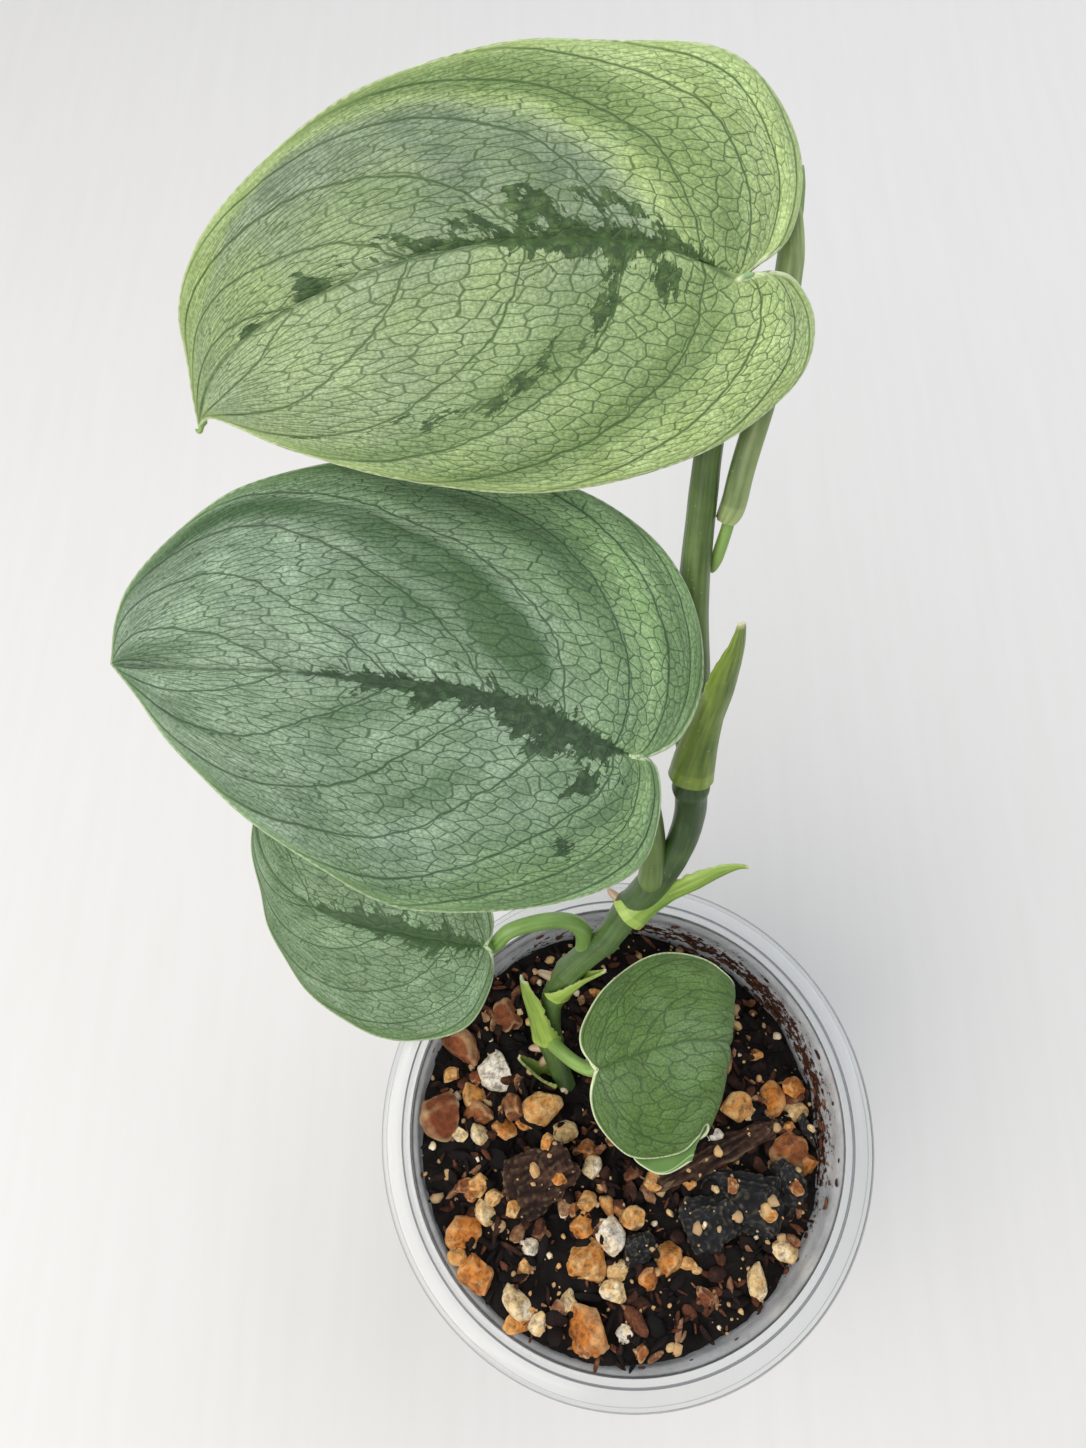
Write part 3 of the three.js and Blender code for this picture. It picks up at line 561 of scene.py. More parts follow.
        # Painted shade below a tone of 0, mixed towards the shadow colour, and painted light above it, up to
        # half again as bright. The tone is the painted stripes plus real streaks along the lanes
        painted_shade_share = add_node(made, "MapRange", [tone, -1.0, 0.0, 1.0, 0.0])
        shaded = add_node(
            made, "Mix", {0: painted_shade_share, 6: skin.outputs[2], 7: linear(self.shadow)}, data_type="RGBA"
        )
        painted_light_gain = add_node(made, "MapRange", [tone, 0.0, 1.0, 1.0, 1.5])
        field_light = add_node(made, "MapRange", [field_tone, 0.0, 1.0, 0.95, 1.06])
        # Cells of 0.1 mm are finer than can be seen, so the grain is drawn at half a millimetre
        grain = add_node(made, "TexNoise", {"Vector": flat, "Scale": UV_SPAN / 0.45, "Detail": 1.0})
        grain_light = add_node(made, "MapRange", [grain, 0.35, 0.65, 0.8, 1.2])
        fine_light = add_node(made, "Math", [field_light, grain_light], operation="MULTIPLY")
        light = add_node(made, "Math", [fine_light, painted_light_gain], operation="MULTIPLY")
        toned = add_node(
            made, "VectorMath", {0: shaded.outputs[2], "Scale": light.outputs[0]}, operation="SCALE"
        )
        return toned.outputs[0]

    def splash_share(
        self,
        made: Material,
        flat: Node,
        depth: NodeSocket,
        rib: NodeSocket,
        vein: NodeSocket,
        along: NodeSocket,
    ) -> Node:
        """Cuts the dark splash along the midrib into ragged fingers along the veins, and adds islands.

        Args:
            made: The material.
            flat: Flat places on the blade.
            depth: Millimetres inside the splash.
            rib: Millimetres from the midrib.
            vein: The count of veins.
            along: Millimetres along the veins.

        Returns:
            The node with the splash's share.
        """
        reach = self.splash_feather
        place = add_node(made, "CombineXYZ", [vein, along])
        stretched = add_node(made, "VectorMath", [place, (1.05, 0.09, 1.0)], operation="MULTIPLY")
        feather = add_node(
            made, "TexNoise", {"Vector": stretched, "Scale": 1.0, "Detail": 6.0, "Roughness": 0.72}
        )
        finger = add_node(made, "MapRange", [feather, 0.3, 0.7, -reach, reach])
        blots = add_node(
            made, "TexNoise", {"Vector": flat, "Scale": UV_SPAN / 2.6, "Detail": 5.0, "Roughness": 0.65}
        )
        island = add_node(made, "MapRange", [blots, 0.3, 0.7, -0.6 * reach, 0.6 * reach])
        uneven = add_node(made, "Math", [finger, island], operation="ADD")
        off_rib = add_node(made, "MapRange", [rib, 0.2, 2.6, 0.12, 1.0])
        whole = add_node(made, "Math", [uneven, off_rib, depth], operation="MULTIPLY_ADD")
        return add_node(made, "MapRange", [whole, -0.05, 0.2, 0.0, 0.95])

    def underside(self) -> Material:
        """Makes the paler, matt lower face's material.

        Returns:
            The material.
        """
        made = new_material(f"{self.name}, underside")
        flat = add_node(made, "UVMap", uv_map="flat")
        vein = add_node(made, "Attribute", attribute_name="vein").outputs["Fac"]
        rib = add_node(made, "Attribute", attribute_name="rib").outputs["Fac"]
        share = add_node(made, "Math", [vein, 0.25], operation="MULTIPLY")
        turned = add_node(made, "Math", [share, 0.5], operation="PINGPONG")
        side_vein = add_node(made, "MapRange", [turned, 0.02, 0.08, 0.5, 0.0])
        midrib = add_node(made, "MapRange", [rib, 0.6, 1.1, 1.0, 0.0])
        lines = add_node(made, "Math", [side_vein, midrib], operation="MAXIMUM")
        patch = add_node(made, "TexNoise", {"Vector": flat, "Scale": UV_SPAN / 5.0, "Detail": 4.0})
        body = add_node(
            made, "Mix", {0: patch, 6: linear(self.below[0]), 7: linear(self.below[1])}, data_type="RGBA"
        )
        veined = add_node(made, "Mix", {0: lines, 6: body.outputs[2], 7: linear("#bcd0a0")}, data_type="RGBA")
        relief = add_node(made, "Bump", {"Height": lines, "Strength": 0.6, "Distance": 0.3 * MM})
        shader = add_node(
            made,
            "BsdfPrincipled",
            {"Base Color": veined.outputs[2], "Roughness": 0.6, "Normal": relief, "Specular IOR Level": 0.35},
        )
        add_node(made, "OutputMaterial", {"Surface": shader})
        return made


@dataclass(frozen=True)
class GreenSkin:
    """Living stem skin: smooth, firm and slightly waxy, with fine streaks along it and small pale dots.

    dry is the colour of a dead papery margin, where the piece has one.
    """

    name: str
    light: str
    dark: str
    streak: float = 0.35
    dry: str = "#cfc8a6"
    roughness: float = 0.4

    def material(self) -> Material:
        """Makes the skin's material.

        Returns:
            The material.
        """
        made = new_material(self.name)
        flat = add_node(made, "UVMap", uv_map="flat")
        dryness = add_node(made, "Attribute", attribute_name="dryness").outputs["Fac"]
        shade = add_node(made, "Attribute", attribute_name="shade").outputs["Fac"]
        long_place = add_node(
            made, "VectorMath", [flat, (UV_SPAN / 0.5, UV_SPAN / 9.0, 1.0)], operation="MULTIPLY"
        )
        streaks = add_node(made, "TexNoise", {"Vector": long_place, "Scale": 1.0, "Detail": 3.0})
        streak_share = add_node(made, "MapRange", [streaks, 0.35, 0.68, 0.0, self.streak])
        patch = add_node(made, "TexNoise", {"Vector": flat, "Scale": UV_SPAN / 7.0, "Detail": 3.0})
        patch_share = add_node(made, "MapRange", [patch, 0.3, 0.7, -0.2, 0.2])
        mixed = add_node(made, "Math", [streak_share, patch_share], operation="ADD")
        deep = add_node(made, "Math", [mixed, shade], operation="ADD", use_clamp=True)
        skin = add_node(made, "Mix", {0: deep, 6: linear(self.light), 7: linear(self.dark)}, data_type="RGBA")
        dots = add_node(made, "TexVoronoi", {"Vector": flat, "Scale": UV_SPAN / 1.1})
        dot_share = add_node(made, "MapRange", [dots, 0.05, 0.14, 0.3, 0.0])
        dotted = add_node(
            made, "Mix", {0: dot_share, 6: skin.outputs[2], 7: linear("#b9c58c")}, data_type="RGBA"
        )
        crinkle = add_node(made, "TexNoise", {"Vector": flat, "Scale": UV_SPAN / 0.8, "Detail": 4.0})
        dry_reach = add_node(made, "Math", [crinkle, 0.5, dryness], operation="MULTIPLY_ADD")
        dry_share = add_node(made, "MapRange", [dry_reach, 0.62, 0.9, 0.0, 1.0])
        whole = add_node(
            made, "Mix", {0: dry_share, 6: dotted.outputs[2], 7: linear(self.dry)}, data_type="RGBA"
        )
        relief = add_node(made, "Bump", {"Height": streaks, "Strength": 0.35, "Distance": 0.15 * MM})
        shader = add_node(
            made,
            "BsdfPrincipled",
            {
                "Base Color": whole.outputs[2],
                "Roughness": self.roughness,
                "Normal": relief,
                "Subsurface Weight": 0.15,
                "Subsurface Radius": (0.6, 1.0, 0.3),
                "Subsurface Scale": 1.2 * MM,
            },
        )
        add_node(made, "OutputMaterial", {"Surface": shader})
        return made


@dataclass(frozen=True)
class ClearPolypropylene:
    """Thin moulded clear plastic: colourless, and faintly milky where it is seen through a thick edge.

    It lets nearly all light through face on, greys at a grazing look, and its smooth skin mirrors the window.
    Above the bark mix its inside is frosted by fine drops and spotted with dried soil.
    """

    name: str = "Clear polypropylene, moulded"
    clear: str = "#fbfcfc"
    steep: str = "#bfc2c6"
    milk: str = "#f2f4f6"
    soil: str = "#4a3025"
    painted_refraction_shade: str = "#9a9da1"
    painted_refraction_rings: tuple[float, float] = (41.35, 43.4)
    ring_width: float = 0.14
    milkiness: float = 0.05
    frost: float = 0.92

    def material(self) -> Material:
        """Makes the plastic's material.

        Returns:
            The material.
        """
        made = new_material(self.name)
        place = add_node(made, "TexCoord").outputs["Object"]

        # The more the wall is seen edge on, the longer the way through it and the greyer it looks
        facing = add_node(made, "LayerWeight", {"Blend": 0.5}).outputs["Facing"]
        steepness = add_node(made, "MapRange", [facing, 0.45, 0.98, 0.0, 1.0])
        filter_tone = add_node(
            made, "Mix", {0: steepness, 6: linear(self.clear), 7: linear(self.steep)}, data_type="RGBA"
        )
        # Painted refraction: thin dark rings round the bead and at the lip's corner stand for the thick plastic
        # bending the dark inside towards the eye
        outward = add_node(made, "VectorMath", [place, (1.0, 1.0, 0.0)], operation="MULTIPLY")
        radius = add_node(made, "VectorMath", [outward], operation="LENGTH").outputs["Value"]
        on_refraction_rings = [
            add_node(made, "Math", {0: radius, 1: middle * MM, 2: self.ring_width * MM}, operation="COMPARE")
            for middle in self.painted_refraction_rings
        ]
        ring = add_node(made, "Math", [on_refraction_rings[0], on_refraction_rings[1]], operation="MAXIMUM")
        refraction_ring_tone = add_node(
            made, "Mix", {0: ring, 6: filter_tone.outputs[2], 7: linear(self.painted_refraction_shade)}, data_type="RGBA"
        )
        through_plastic = add_node(made, "BsdfTransparent", {"Color": refraction_ring_tone.outputs[2]})
        lit_milk = add_node(made, "BsdfDiffuse", {"Color": linear(self.milk)})
        milk_through = add_node(made, "BsdfTranslucent", {"Color": linear(self.milk)})
        milk = add_node(made, "MixShader", [0.5, lit_milk, milk_through])

        # Frost and dried soil, on the inside wall between the bark mix and the mouth
        above_soil = add_node(made, "Attribute", attribute_name="inside").outputs["Fac"]
        clouds = add_node(
            made, "TexNoise", {"Vector": place, "Scale": 1 / (6 * MM), "Detail": 6.0, "Roughness": 0.7}
        )
        cloud_share = add_node(made, "MapRange", [clouds, 0.36, 0.62, 0.6, self.frost])
        frosting = add_node(made, "Math", [cloud_share, above_soil], operation="MULTIPLY")
        milk_share = add_node(made, "Math", [frosting, self.milkiness], operation="MAXIMUM")
        body = add_node(made, "MixShader", [milk_share, through_plastic, milk])
        gloss = add_node(made, "BsdfGlossy", {"Roughness": 0.12})
        mirror = add_node(made, "Fresnel", {"IOR": 1.49})
        skin = add_node(made, "MixShader", [mirror, body, gloss])
        near_soil = add_node(made, "Attribute", attribute_name="soiling").outputs["Fac"]
        speckle = add_node(
            made, "TexNoise", {"Vector": place, "Scale": 1 / (1.6 * MM), "Detail": 5.0, "Roughness": 0.7}
        )
        dirt_reach = add_node(made, "Math", [speckle, near_soil], operation="ADD")
        dirt_share = add_node(made, "MapRange", [dirt_reach, 1.0, 1.06, 0.0, 1.0])
        dirt = add_node(made, "BsdfDiffuse", {"Color": linear(self.soil)})
        shader = add_node(made, "MixShader", [dirt_share, skin, dirt])
        add_node(made, "OutputMaterial", {"Surface": shader})
        return made


@dataclass(frozen=True)
class Mineral:
    """Rough dry grain, bark, charcoal or compost: matt, pitted, with colour that differs from grain to grain.

    tone, a number of its own for each grain, picks a colour between the first and the last one.
    """

    name: str
    colours: tuple[str, ...]
    stain: str = "#3a2418"
    stain_share: float = 0.4
    pit_size: float = 0.7
    pit_depth: float = 0.25
    roughness: float = 0.9
    worn_and_highlit: str = "#f0d9a4"
    wear_and_highlight: float = 0.0
    specular: float = 0.25

    def material(self) -> Material:
        """Makes the grain's material.

        Returns:
            The material.
        """
        made = new_material(self.name)
        place = add_node(made, "TexCoord").outputs["Object"]
        tone = add_node(made, "Attribute", attribute_name="tone").outputs["Fac"]
        mottle = add_node(
            made, "TexNoise", {"Vector": place, "Scale": 1 / (2.4 * MM), "Detail": 5.0, "Roughness": 0.65}
        )
        mottle_shift = add_node(made, "MapRange", [mottle, 0.3, 0.7, -0.16, 0.16])
        place_on_ramp = add_node(made, "Math", [tone, mottle_shift], operation="ADD", use_clamp=True)
        ramp = add_node(made, "ValToRGB", [place_on_ramp])
        stops = ramp.color_ramp.elements
        for index, colour in enumerate(self.colours):
            share = index / max(1, len(self.colours) - 1)
            stop = stops[index] if index < 2 else stops.new(share)
            stop.position = share
            stop.color = linear(colour)
        pits = add_node(
            made,
            "TexNoise",
            {"Vector": place, "Scale": 1 / (self.pit_size * MM), "Detail": 6.0, "Roughness": 0.75},
        )
        pit_share = add_node(made, "MapRange", [pits, 0.36, 0.56, self.stain_share, 0.0])
        colour = add_node(made, "Mix", {0: pit_share, 6: ramp, 7: linear(self.stain)}, data_type="RGBA")
        # Edges that stick out are painted pale, partly rubbed wear and partly a painted highlight, and hollows
        # are darkened with the stain colour
        bulge = add_node(made, "NewGeometry").outputs["Pointiness"]
        wear_and_highlight_share = add_node(made, "MapRange", [bulge, 0.51, 0.58, 0.0, self.wear_and_highlight])
        worn_and_highlit = add_node(
            made, "Mix", {0: wear_and_highlight_share, 6: colour.outputs[2], 7: linear(self.worn_and_highlit)}, data_type="RGBA"
        )
        hollow_share = add_node(made, "MapRange", [bulge, 0.44, 0.5, 0.7, 0.0])
        hollows_darkened = add_node(
            made, "Mix", {0: hollow_share, 6: worn_and_highlit.outputs[2], 7: linear(self.stain)}, data_type="RGBA"
        )
        relief = add_node(made, "Bump", {"Height": pits, "Strength": 0.8, "Distance": self.pit_depth * MM})
        shader = add_node(
            made,
            "BsdfPrincipled",
            {
                "Base Color": hollows_darkened.outputs[2],
                "Roughness": self.roughness,
                "Normal": relief,
                "Specular IOR Level": self.specular,
            },
        )
        add_node(made, "OutputMaterial", {"Surface": shader})
        return made


@dataclass
class SubAssembly:
    """Some of the object's pieces, made and dressed together."""

    pieces: list = field(default_factory=list, init=False)

    def keep(self, piece: Object, slot: str, *nodes: str) -> Object:
        """Takes in a finished piece.

        Args:
            piece: The piece.
            slot: The name of a material slot; not used.
            nodes: The solids that it stands for.

        Returns:
            The piece.
        """
        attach(piece, "root")
        if nodes:
            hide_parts(*nodes)
        self.pieces.append(piece)
        return piece

    def build(self) -> None:
        """Makes the pieces; each kind of sub-assembly has its own way."""
        raise NotImplementedError


@dataclass
class Cup(SubAssembly):
    """A tapered clear cup: thin wall, raised bead round the mouth, flat flange and turned-down lip."""

    height: float = 85.0
    rim_radius: float = 47.5
    flange_inner: float = 43.5
    bead_outer: float = 42.6
    mouth_radius: float = 41.2
    draft: float = 0.13
    wall: float = 0.8
    floor: float = 1.0
    flange_drop: float = 0.9
    lip_drop: float = 3.6
    foot_corner: float = 2.0
    sides: int = 128

    def inner_radius(self, z: float | np.ndarray) -> float | np.ndarray:
        """Gives the inside radius at a height below the rim plane.

        Args:
            z: Height from the rim plane, negative below it.

        Returns:
            The radius.
        """
        return self.mouth_radius + self.draft * z

    def inner_at(self, height: float) -> float:
        """Gives the inside radius at a height above the underside."""
        return self.inner_radius(height - self.height)

    def outer_at(self, height: float) -> float:
        """Gives the outside radius at a height above the underside."""
        return self.inner_at(height) + self.wall

    def profile(self) -> list[tuple[float, float]]:
        """Gives the cross-section from the middle of the underside, over the rim, to the middle of the floor.

        Returns:
            Radius and height above the underside for each ring.
        """
        rim, flange, mouth = self.rim_radius, self.flange_inner, self.mouth_radius
        lip, foot = self.height - self.lip_drop, self.outer_at(0)
        top = self.height - self.flange_drop
        under = top - self.wall
        corner = self.foot_corner
        bead = (self.bead_outer + mouth) / 2
        rings = [(3.0, 0.6), (foot - corner - 4.0, 0.6), (foot - corner - 3.0, 0.0), (foot - corner, 0.0)]
        for angle in np.radians([25, 50, 75]):
            inward = corner * (1 - math.sin(angle))
            rings.append((self.outer_at(corner) - inward, corner * (1 - math.cos(angle))))
        rings += [(self.outer_at(z), z) for z in (corner, 0.35 * self.height, 0.7 * self.height, under - 2.0)]
        rings += [(self.outer_at(under) + 0.3, under - 0.5), (flange + 0.4, under), (rim - 2.2, under)]
        rings += [(rim - 1.1, under - 0.5), (rim - self.wall, under - 1.4), (rim - self.wall, lip)]
        rings += [(rim, lip), (rim, top - 1.4), (rim - 0.25, top - 0.5), (rim - 0.8, top - 0.08)]
        rings += [(rim - 1.4, top), (flange + 0.3, top), (flange, top + 0.05)]
        rings += [(self.bead_outer + 0.25, top + 0.35), (self.bead_outer - 0.1, self.height - 0.15)]
        rings += [(bead, self.height), (mouth + 0.15, self.height - 0.2), (mouth - 0.05, self.height - 0.9)]
        rings += [(self.inner_at(z), z) for z in self.height - np.array([3.0, 5.0, 7.5, 10.0, 13.0, 17.0])]
        rings += [(self.inner_at(z), z) for z in (0.7 * self.height, 0.35 * self.height, self.floor + 1.6)]
        floor = self.inner_at(self.floor)
        rings += [(floor - 0.5, self.floor + 0.5), (floor - 1.8, self.floor), (3.0, self.floor)]
        return rings

    def build(self) -> None:
        """Turns the cup by drawing a ring up and in, one step after another."""
        rings = self.profile()
        deselect()
        bpy.ops.mesh.primitive_circle_add(
            vertices=self.sides, radius=rings[0][0] * MM, fill_type="NGON", location=(0, 0, rings[0][1] * MM)
        )
        cup = bpy.context.object
        cup.name = "clear_cup"
        bpy.ops.object.mode_set(mode="EDIT")
        bpy.ops.mesh.select_all(action="SELECT")
        for (radius, z), (next_radius, next_z) in zip(rings, rings[1:]):
            bpy.ops.mesh.extrude_region_move(TRANSFORM_OT_translate={"value": (0, 0, (next_z - z) * MM)})
            share = next_radius / radius
            bpy.ops.transform.resize(value=(share, share, 1.0), center_override=(0, 0, next_z * MM))
        bpy.ops.object.mode_set(mode="OBJECT")
        bpy.ops.object.transform_apply(location=True, rotation=True, scale=True)
        # The first ring leaves a round hole in the underside
        merge_and_close(cup, close=True)
        # Frost and dried soil lie on the inside wall above the mix, and most soil on the right and low down
        x, y, z = (np.array([v.co for v in cup.data.vertices]) / MM).T
        inside = np.hypot(x, y) < self.mouth_radius + 0.12
        above_mix = np.clip((z - 0.78 * self.height) / 5, 0, 1)
        side_share = 0.36 + 0.14 * np.cos(np.arctan2(y, x) - math.radians(40))
        low_share = np.clip(1 - (z - 0.88 * self.height) / 9, 0, 1)
        give_attribute(cup, "inside", np.where(inside & (z < self.height - 0.6), above_mix, 0.0))
        soiling = above_mix * side_share * (0.7 + 0.5 * low_share)
        give_attribute(cup, "soiling", np.where(inside, soiling, 0.0))
        smooth(cup, 35)
        cup.data.materials.append(ClearPolypropylene().material())
        self.keep(cup, "clear_plastic", "cup")


@dataclass(frozen=True)
class Droop:
    """Rolls the end of a blade down past a line across it.

    start is the line's distance from the notch, skew its turn, and most the largest bend in degrees.
    """

    start: float
    radius: float
    most: float
    skew: float


@dataclass(frozen=True)
class Nod:
    """Turns the lobes of a blade down behind the notch, by at most this many degrees."""

    start: float
    radius: float
    most: float


@dataclass(frozen=True)
class HalfBlade:
    """The markings and folds of one half of a blade.

    Veins are numbered by the share of the midrib at which they leave it, negative for those that leave at the
    notch. silver gives, from notch to tip, the lowest number that is silver. silver_border is how many
    numbers its edge takes, silver_most its full strength, and silver_fade how far it pales towards the tip.
    splash gives, from notch to tip, the reach of the dark splash as a share of the way to the margin. fingers
    are long tongues of it: [share, number] at the start, the same at the end, and the half width.
    painted_light_and_tone_bands are [number, half width, tone], with tones from -1 for dark to 1 for pale:
    mostly painted light and shade across the pleats and folds, and partly real tone. folds are [number, half
    width, depth], and spots are loose dark spots, [along, across, radius].
    """

    silver: Outline = ((0, -2), (1, -2))
    silver_border: float = 0.1
    silver_fade: float = 0.0
    silver_most: float = 1.0
    splash: Outline = ((0, 0), (1, 0))
    fingers: Outline = ()
    painted_light_and_tone_bands: Outline = ()
    folds: Outline = ()
    spots: Outline = ()


@dataclass(frozen=True)
class BladePoints:
    """The points of a blade's grid.

    rows are shares from notch to tip, and signed are shares from the midrib to a margin, negative to the
    right. flat are places along and across the flat blade, and number tells the veins that they lie on.
    """

    rows: np.ndarray
    signed: np.ndarray
    flat: np.ndarray
    number: np.ndarray


@dataclass
class Blade(SubAssembly):
    """A heart-shaped blade: its flat outline, how it is bent in space, its relief and its markings.

    The outlines are flat millimetres along the midrib from the notch and across it, with the blade's left
    positive. The side veins leave the midrib one after another and run in long arcs towards the tip. streak
    is a splash along one vein of the left half: [share from the midrib, vein number, half width].
    """

    node: str = ""
    slot: str = "silver_blade"
    notch: tuple[float, float, float] = (0, 0, 0)
    towards: tuple[float, float, float] = (-1, 0, 0)
    facing: tuple[float, float, float] = (0, 0, 1)
    valley: float = 0.14
    curl: float = 0.2
    half_width: float = 25
    droop: Droop = Droop(32, 60, 40, 0)
    nod: Nod = Nod(4, 22, 30)
    midrib: Outline = ()
    right: Outline = ()
    left: Outline = ()
    tissue: BladeTissue | None = None
    right_marks: HalfBlade = HalfBlade()
    left_marks: HalfBlade = HalfBlade()
    streak: Outline = ()
    fine_veins: float = 25.0
    vein_shift: float = 0.0
    vein_reach: float = 0.27
    vein_cap: float = 1.15
    pleat: float = 0.3
    broad: float = 0.25
    thickness: float = 0.55
    rows: int = 170
    half_columns: int = 40
    seed: float = 1.0

    def flat_at(self, rows: np.ndarray, signed: np.ndarray) -> np.ndarray:
        """Gives flat places on the blade.

        Args:
            rows: Shares from notch to tip.
            signed: Shares from the midrib to a margin, negative to the right.

        Returns:
            Places along and across the flat blade.
        """
        rib = through(self.midrib, rows**1.5)
        edge = np.where((signed < 0)[:, None], through(self.right, rows), through(self.left, rows))
        return rib + (edge - rib) * np.abs(signed)[:, None]

    def bend(self, flat: np.ndarray) -> np.ndarray:
        """Bends flat points into space.

        Args:
            flat: Places along and across the flat blade.

        Returns:
            Places in space.
        """
        facing = unit(np.array(self.facing, float))
        ahead = np.array(self.towards, float)
        ahead = unit(ahead - (ahead @ facing) * facing)
        left = np.cross(facing, ahead)
        along, across = flat[:, 0], flat[:, 1]
        x, y, z = along.copy(), across.copy(), np.zeros(len(flat))
        turn_x, turn_y = math.cos(math.radians(self.droop.skew)), math.sin(math.radians(self.droop.skew))
        past = np.maximum(0, (along - self.droop.start) * turn_x + across * turn_y)
        most = math.radians(self.droop.most)
        angle = np.minimum(past / self.droop.radius, most)
        straight = np.maximum(0, past - self.droop.radius * most)
        reach = self.droop.radius * np.sin(angle) + straight * np.cos(angle)
        x += (reach - past) * turn_x
        y += (reach - past) * turn_y
        z -= self.droop.radius * (1 - np.cos(angle)) + straight * np.sin(angle)
        tilt_x, tilt_y, tilt_z = np.sin(angle) * turn_x, np.sin(angle) * turn_y, np.cos(angle)
        behind = np.maximum(0, self.nod.start - along)
        nodding = np.minimum(behind / self.nod.radius, math.radians(self.nod.most))
        beyond = np.maximum(0, behind - self.nod.radius * math.radians(self.nod.most))
        x += behind - self.nod.radius * np.sin(nodding) - beyond * np.cos(nodding)
        z -= self.nod.radius * (1 - np.cos(nodding)) + beyond * np.sin(nodding)
        tilt_x = tilt_x - np.sin(nodding)
        fold = self.valley * (np.hypot(across, 2) - 2) - self.curl * across**2 / self.half_width
        return (
            np.array(self.notch, float)
            + np.outer(x + fold * tilt_x, ahead)
            + np.outer(y + fold * tilt_y, left)
            + np.outer(z + fold * tilt_z, facing)
        )

    def normals(self, flat: np.ndarray) -> np.ndarray:
        """Gives the bent blade's upward normals.

        Args:
            flat: Places along and across the flat blade.

        Returns:
            One unit vector for each place.
        """
        step = 0.2
        along = self.bend(flat + [step, 0]) - self.bend(flat - [step, 0])
        across = self.bend(flat + [0, step]) - self.bend(flat - [0, step])
        return unit(np.cross(along, across))

    def vein_number(self, rows: np.ndarray, signed: np.ndarray, flat: np.ndarray) -> np.ndarray:
        """Numbers the arc of side veins that each place lies on.

        Args:
            rows: Shares from notch to tip.
            signed: Shares from the midrib to a margin, negative to the right.
            flat: Places along and across the flat blade.

        Returns:
            The share of the midrib at which a vein through each place leaves it.
        """
        away = np.abs(signed)
        sway = 0.04 * lumps(flat, 26.0, self.seed) + 0.012 * lumps(flat, 9.0, self.seed + 4)
        return rows + self.vein_reach * np.log(1 - away / self.vein_cap) + sway * np.clip(3 * away, 0, 1)

    def vein_length(self, rows: np.ndarray, signed: np.ndarray, stations: int = 14) -> np.ndarray:
        """Measures along the arc from the midrib to each place.

        Args:
            rows: Shares from notch to tip.
            signed: Shares from the midrib to a margin, negative to the right.
            stations: Steps that each arc is measured in.

        Returns:
            Lengths in millimetres.
        """
        away = np.abs(signed)
        leaves = rows + self.vein_reach * np.log(1 - away / self.vein_cap)
        first = np.where(leaves < 0, self.vein_cap * (1 - np.exp(leaves / self.vein_reach)), 0.0)
        length = np.zeros(len(rows))
        before = None
        for share in np.linspace(0, 1, stations):
            there = first + (away - first) * share
            row = np.clip(leaves - self.vein_reach * np.log(1 - there / self.vein_cap), 0, 1)
            place = self.flat_at(row, np.where(signed < 0, -there, there))
            if before is not None:
                length += np.linalg.norm(place - before, axis=1)
            before = place
        return length

    def crowding(self, rows: np.ndarray, signed: np.ndarray) -> np.ndarray:
        """Counts the fine veins to a millimetre.

        Args:
            rows: Shares from notch to tip.
            signed: Shares from the midrib to a margin, negative to the right.

        Returns:
            Veins per millimetre.
        """
        step = 0.004
        inner_rows = np.clip(rows, 2 * step, 1 - 2 * step)
        inner = np.sign(signed + 1e-9) * np.clip(np.abs(signed), 2 * step, 1 - 2 * step)
        by_row = self.flat_at(inner_rows + step, inner) - self.flat_at(inner_rows - step, inner)
        by_row /= 2 * step
        by_share = self.flat_at(inner_rows, inner + step) - self.flat_at(inner_rows, inner - step)
        by_share /= 2 * step
        area = np.abs(by_row[:, 0] * by_share[:, 1] - by_row[:, 1] * by_share[:, 0]) + 1.0
        slope = -np.sign(inner) * self.vein_reach / (self.vein_cap - np.abs(inner))
        change = by_share - slope[:, None] * by_row
        return self.fine_veins * np.linalg.norm(change, axis=1) / area

    def build(self) -> None:
        """Lays a fine grid on the blade, from notch to tip and from margin to margin, and thickens it."""
        name = self.node.replace("blade_", "") + "_blade"
        blade, rows, columns = new_grid(name, self.rows, 2 * self.half_columns)
        signed = 2 * columns - 1
        flat = self.flat_at(rows, signed)
        points = BladePoints(rows, signed, flat, self.vein_number(rows, signed, flat))
        put_vertices(blade, self.bend(flat) + self.normals(flat) * self.relief(points)[:, None])
        along_margin = np.linspace(0, 1, 260)
        margin_line = np.vstack([through(self.right, along_margin), through(self.left, along_margin)])
        give_attribute(blade, "margin", nearest(flat, margin_line))
        give_attribute(blade, "rib", nearest(flat, through(self.midrib, np.linspace(0, 1, 160))))
        give_attribute(blade, "vein", self.fine_veins * points.number + 4 * self.vein_shift)
        give_attribute(blade, "along", self.vein_length(rows, signed) * np.sign(signed) + 200)
        give_attribute(blade, "crowding", self.crowding(rows, signed))
        give_attribute(blade, "silver", self.silver_field(points))
        give_attribute(blade, "splash", self.splash_field(points))
        give_attribute(blade, "painted_light_and_tone", self.painted_light_and_tone_field(points))
        give_flat_map(blade, flat)
        merge_and_close(blade)
        self.face_upwards(blade)
        blade.data.materials.append(self.tissue.material())
        blade.data.materials.append(self.tissue.underside())
        sides = {"material_offset": 1, "material_offset_rim": 0}
        apply_modifier(blade, "SOLIDIFY", thickness=self.thickness * MM, offset=0.0, use_rim=True, **sides)
        activate(blade)
        bpy.ops.object.shade_smooth()
        self.keep(blade, self.slot, self.node)

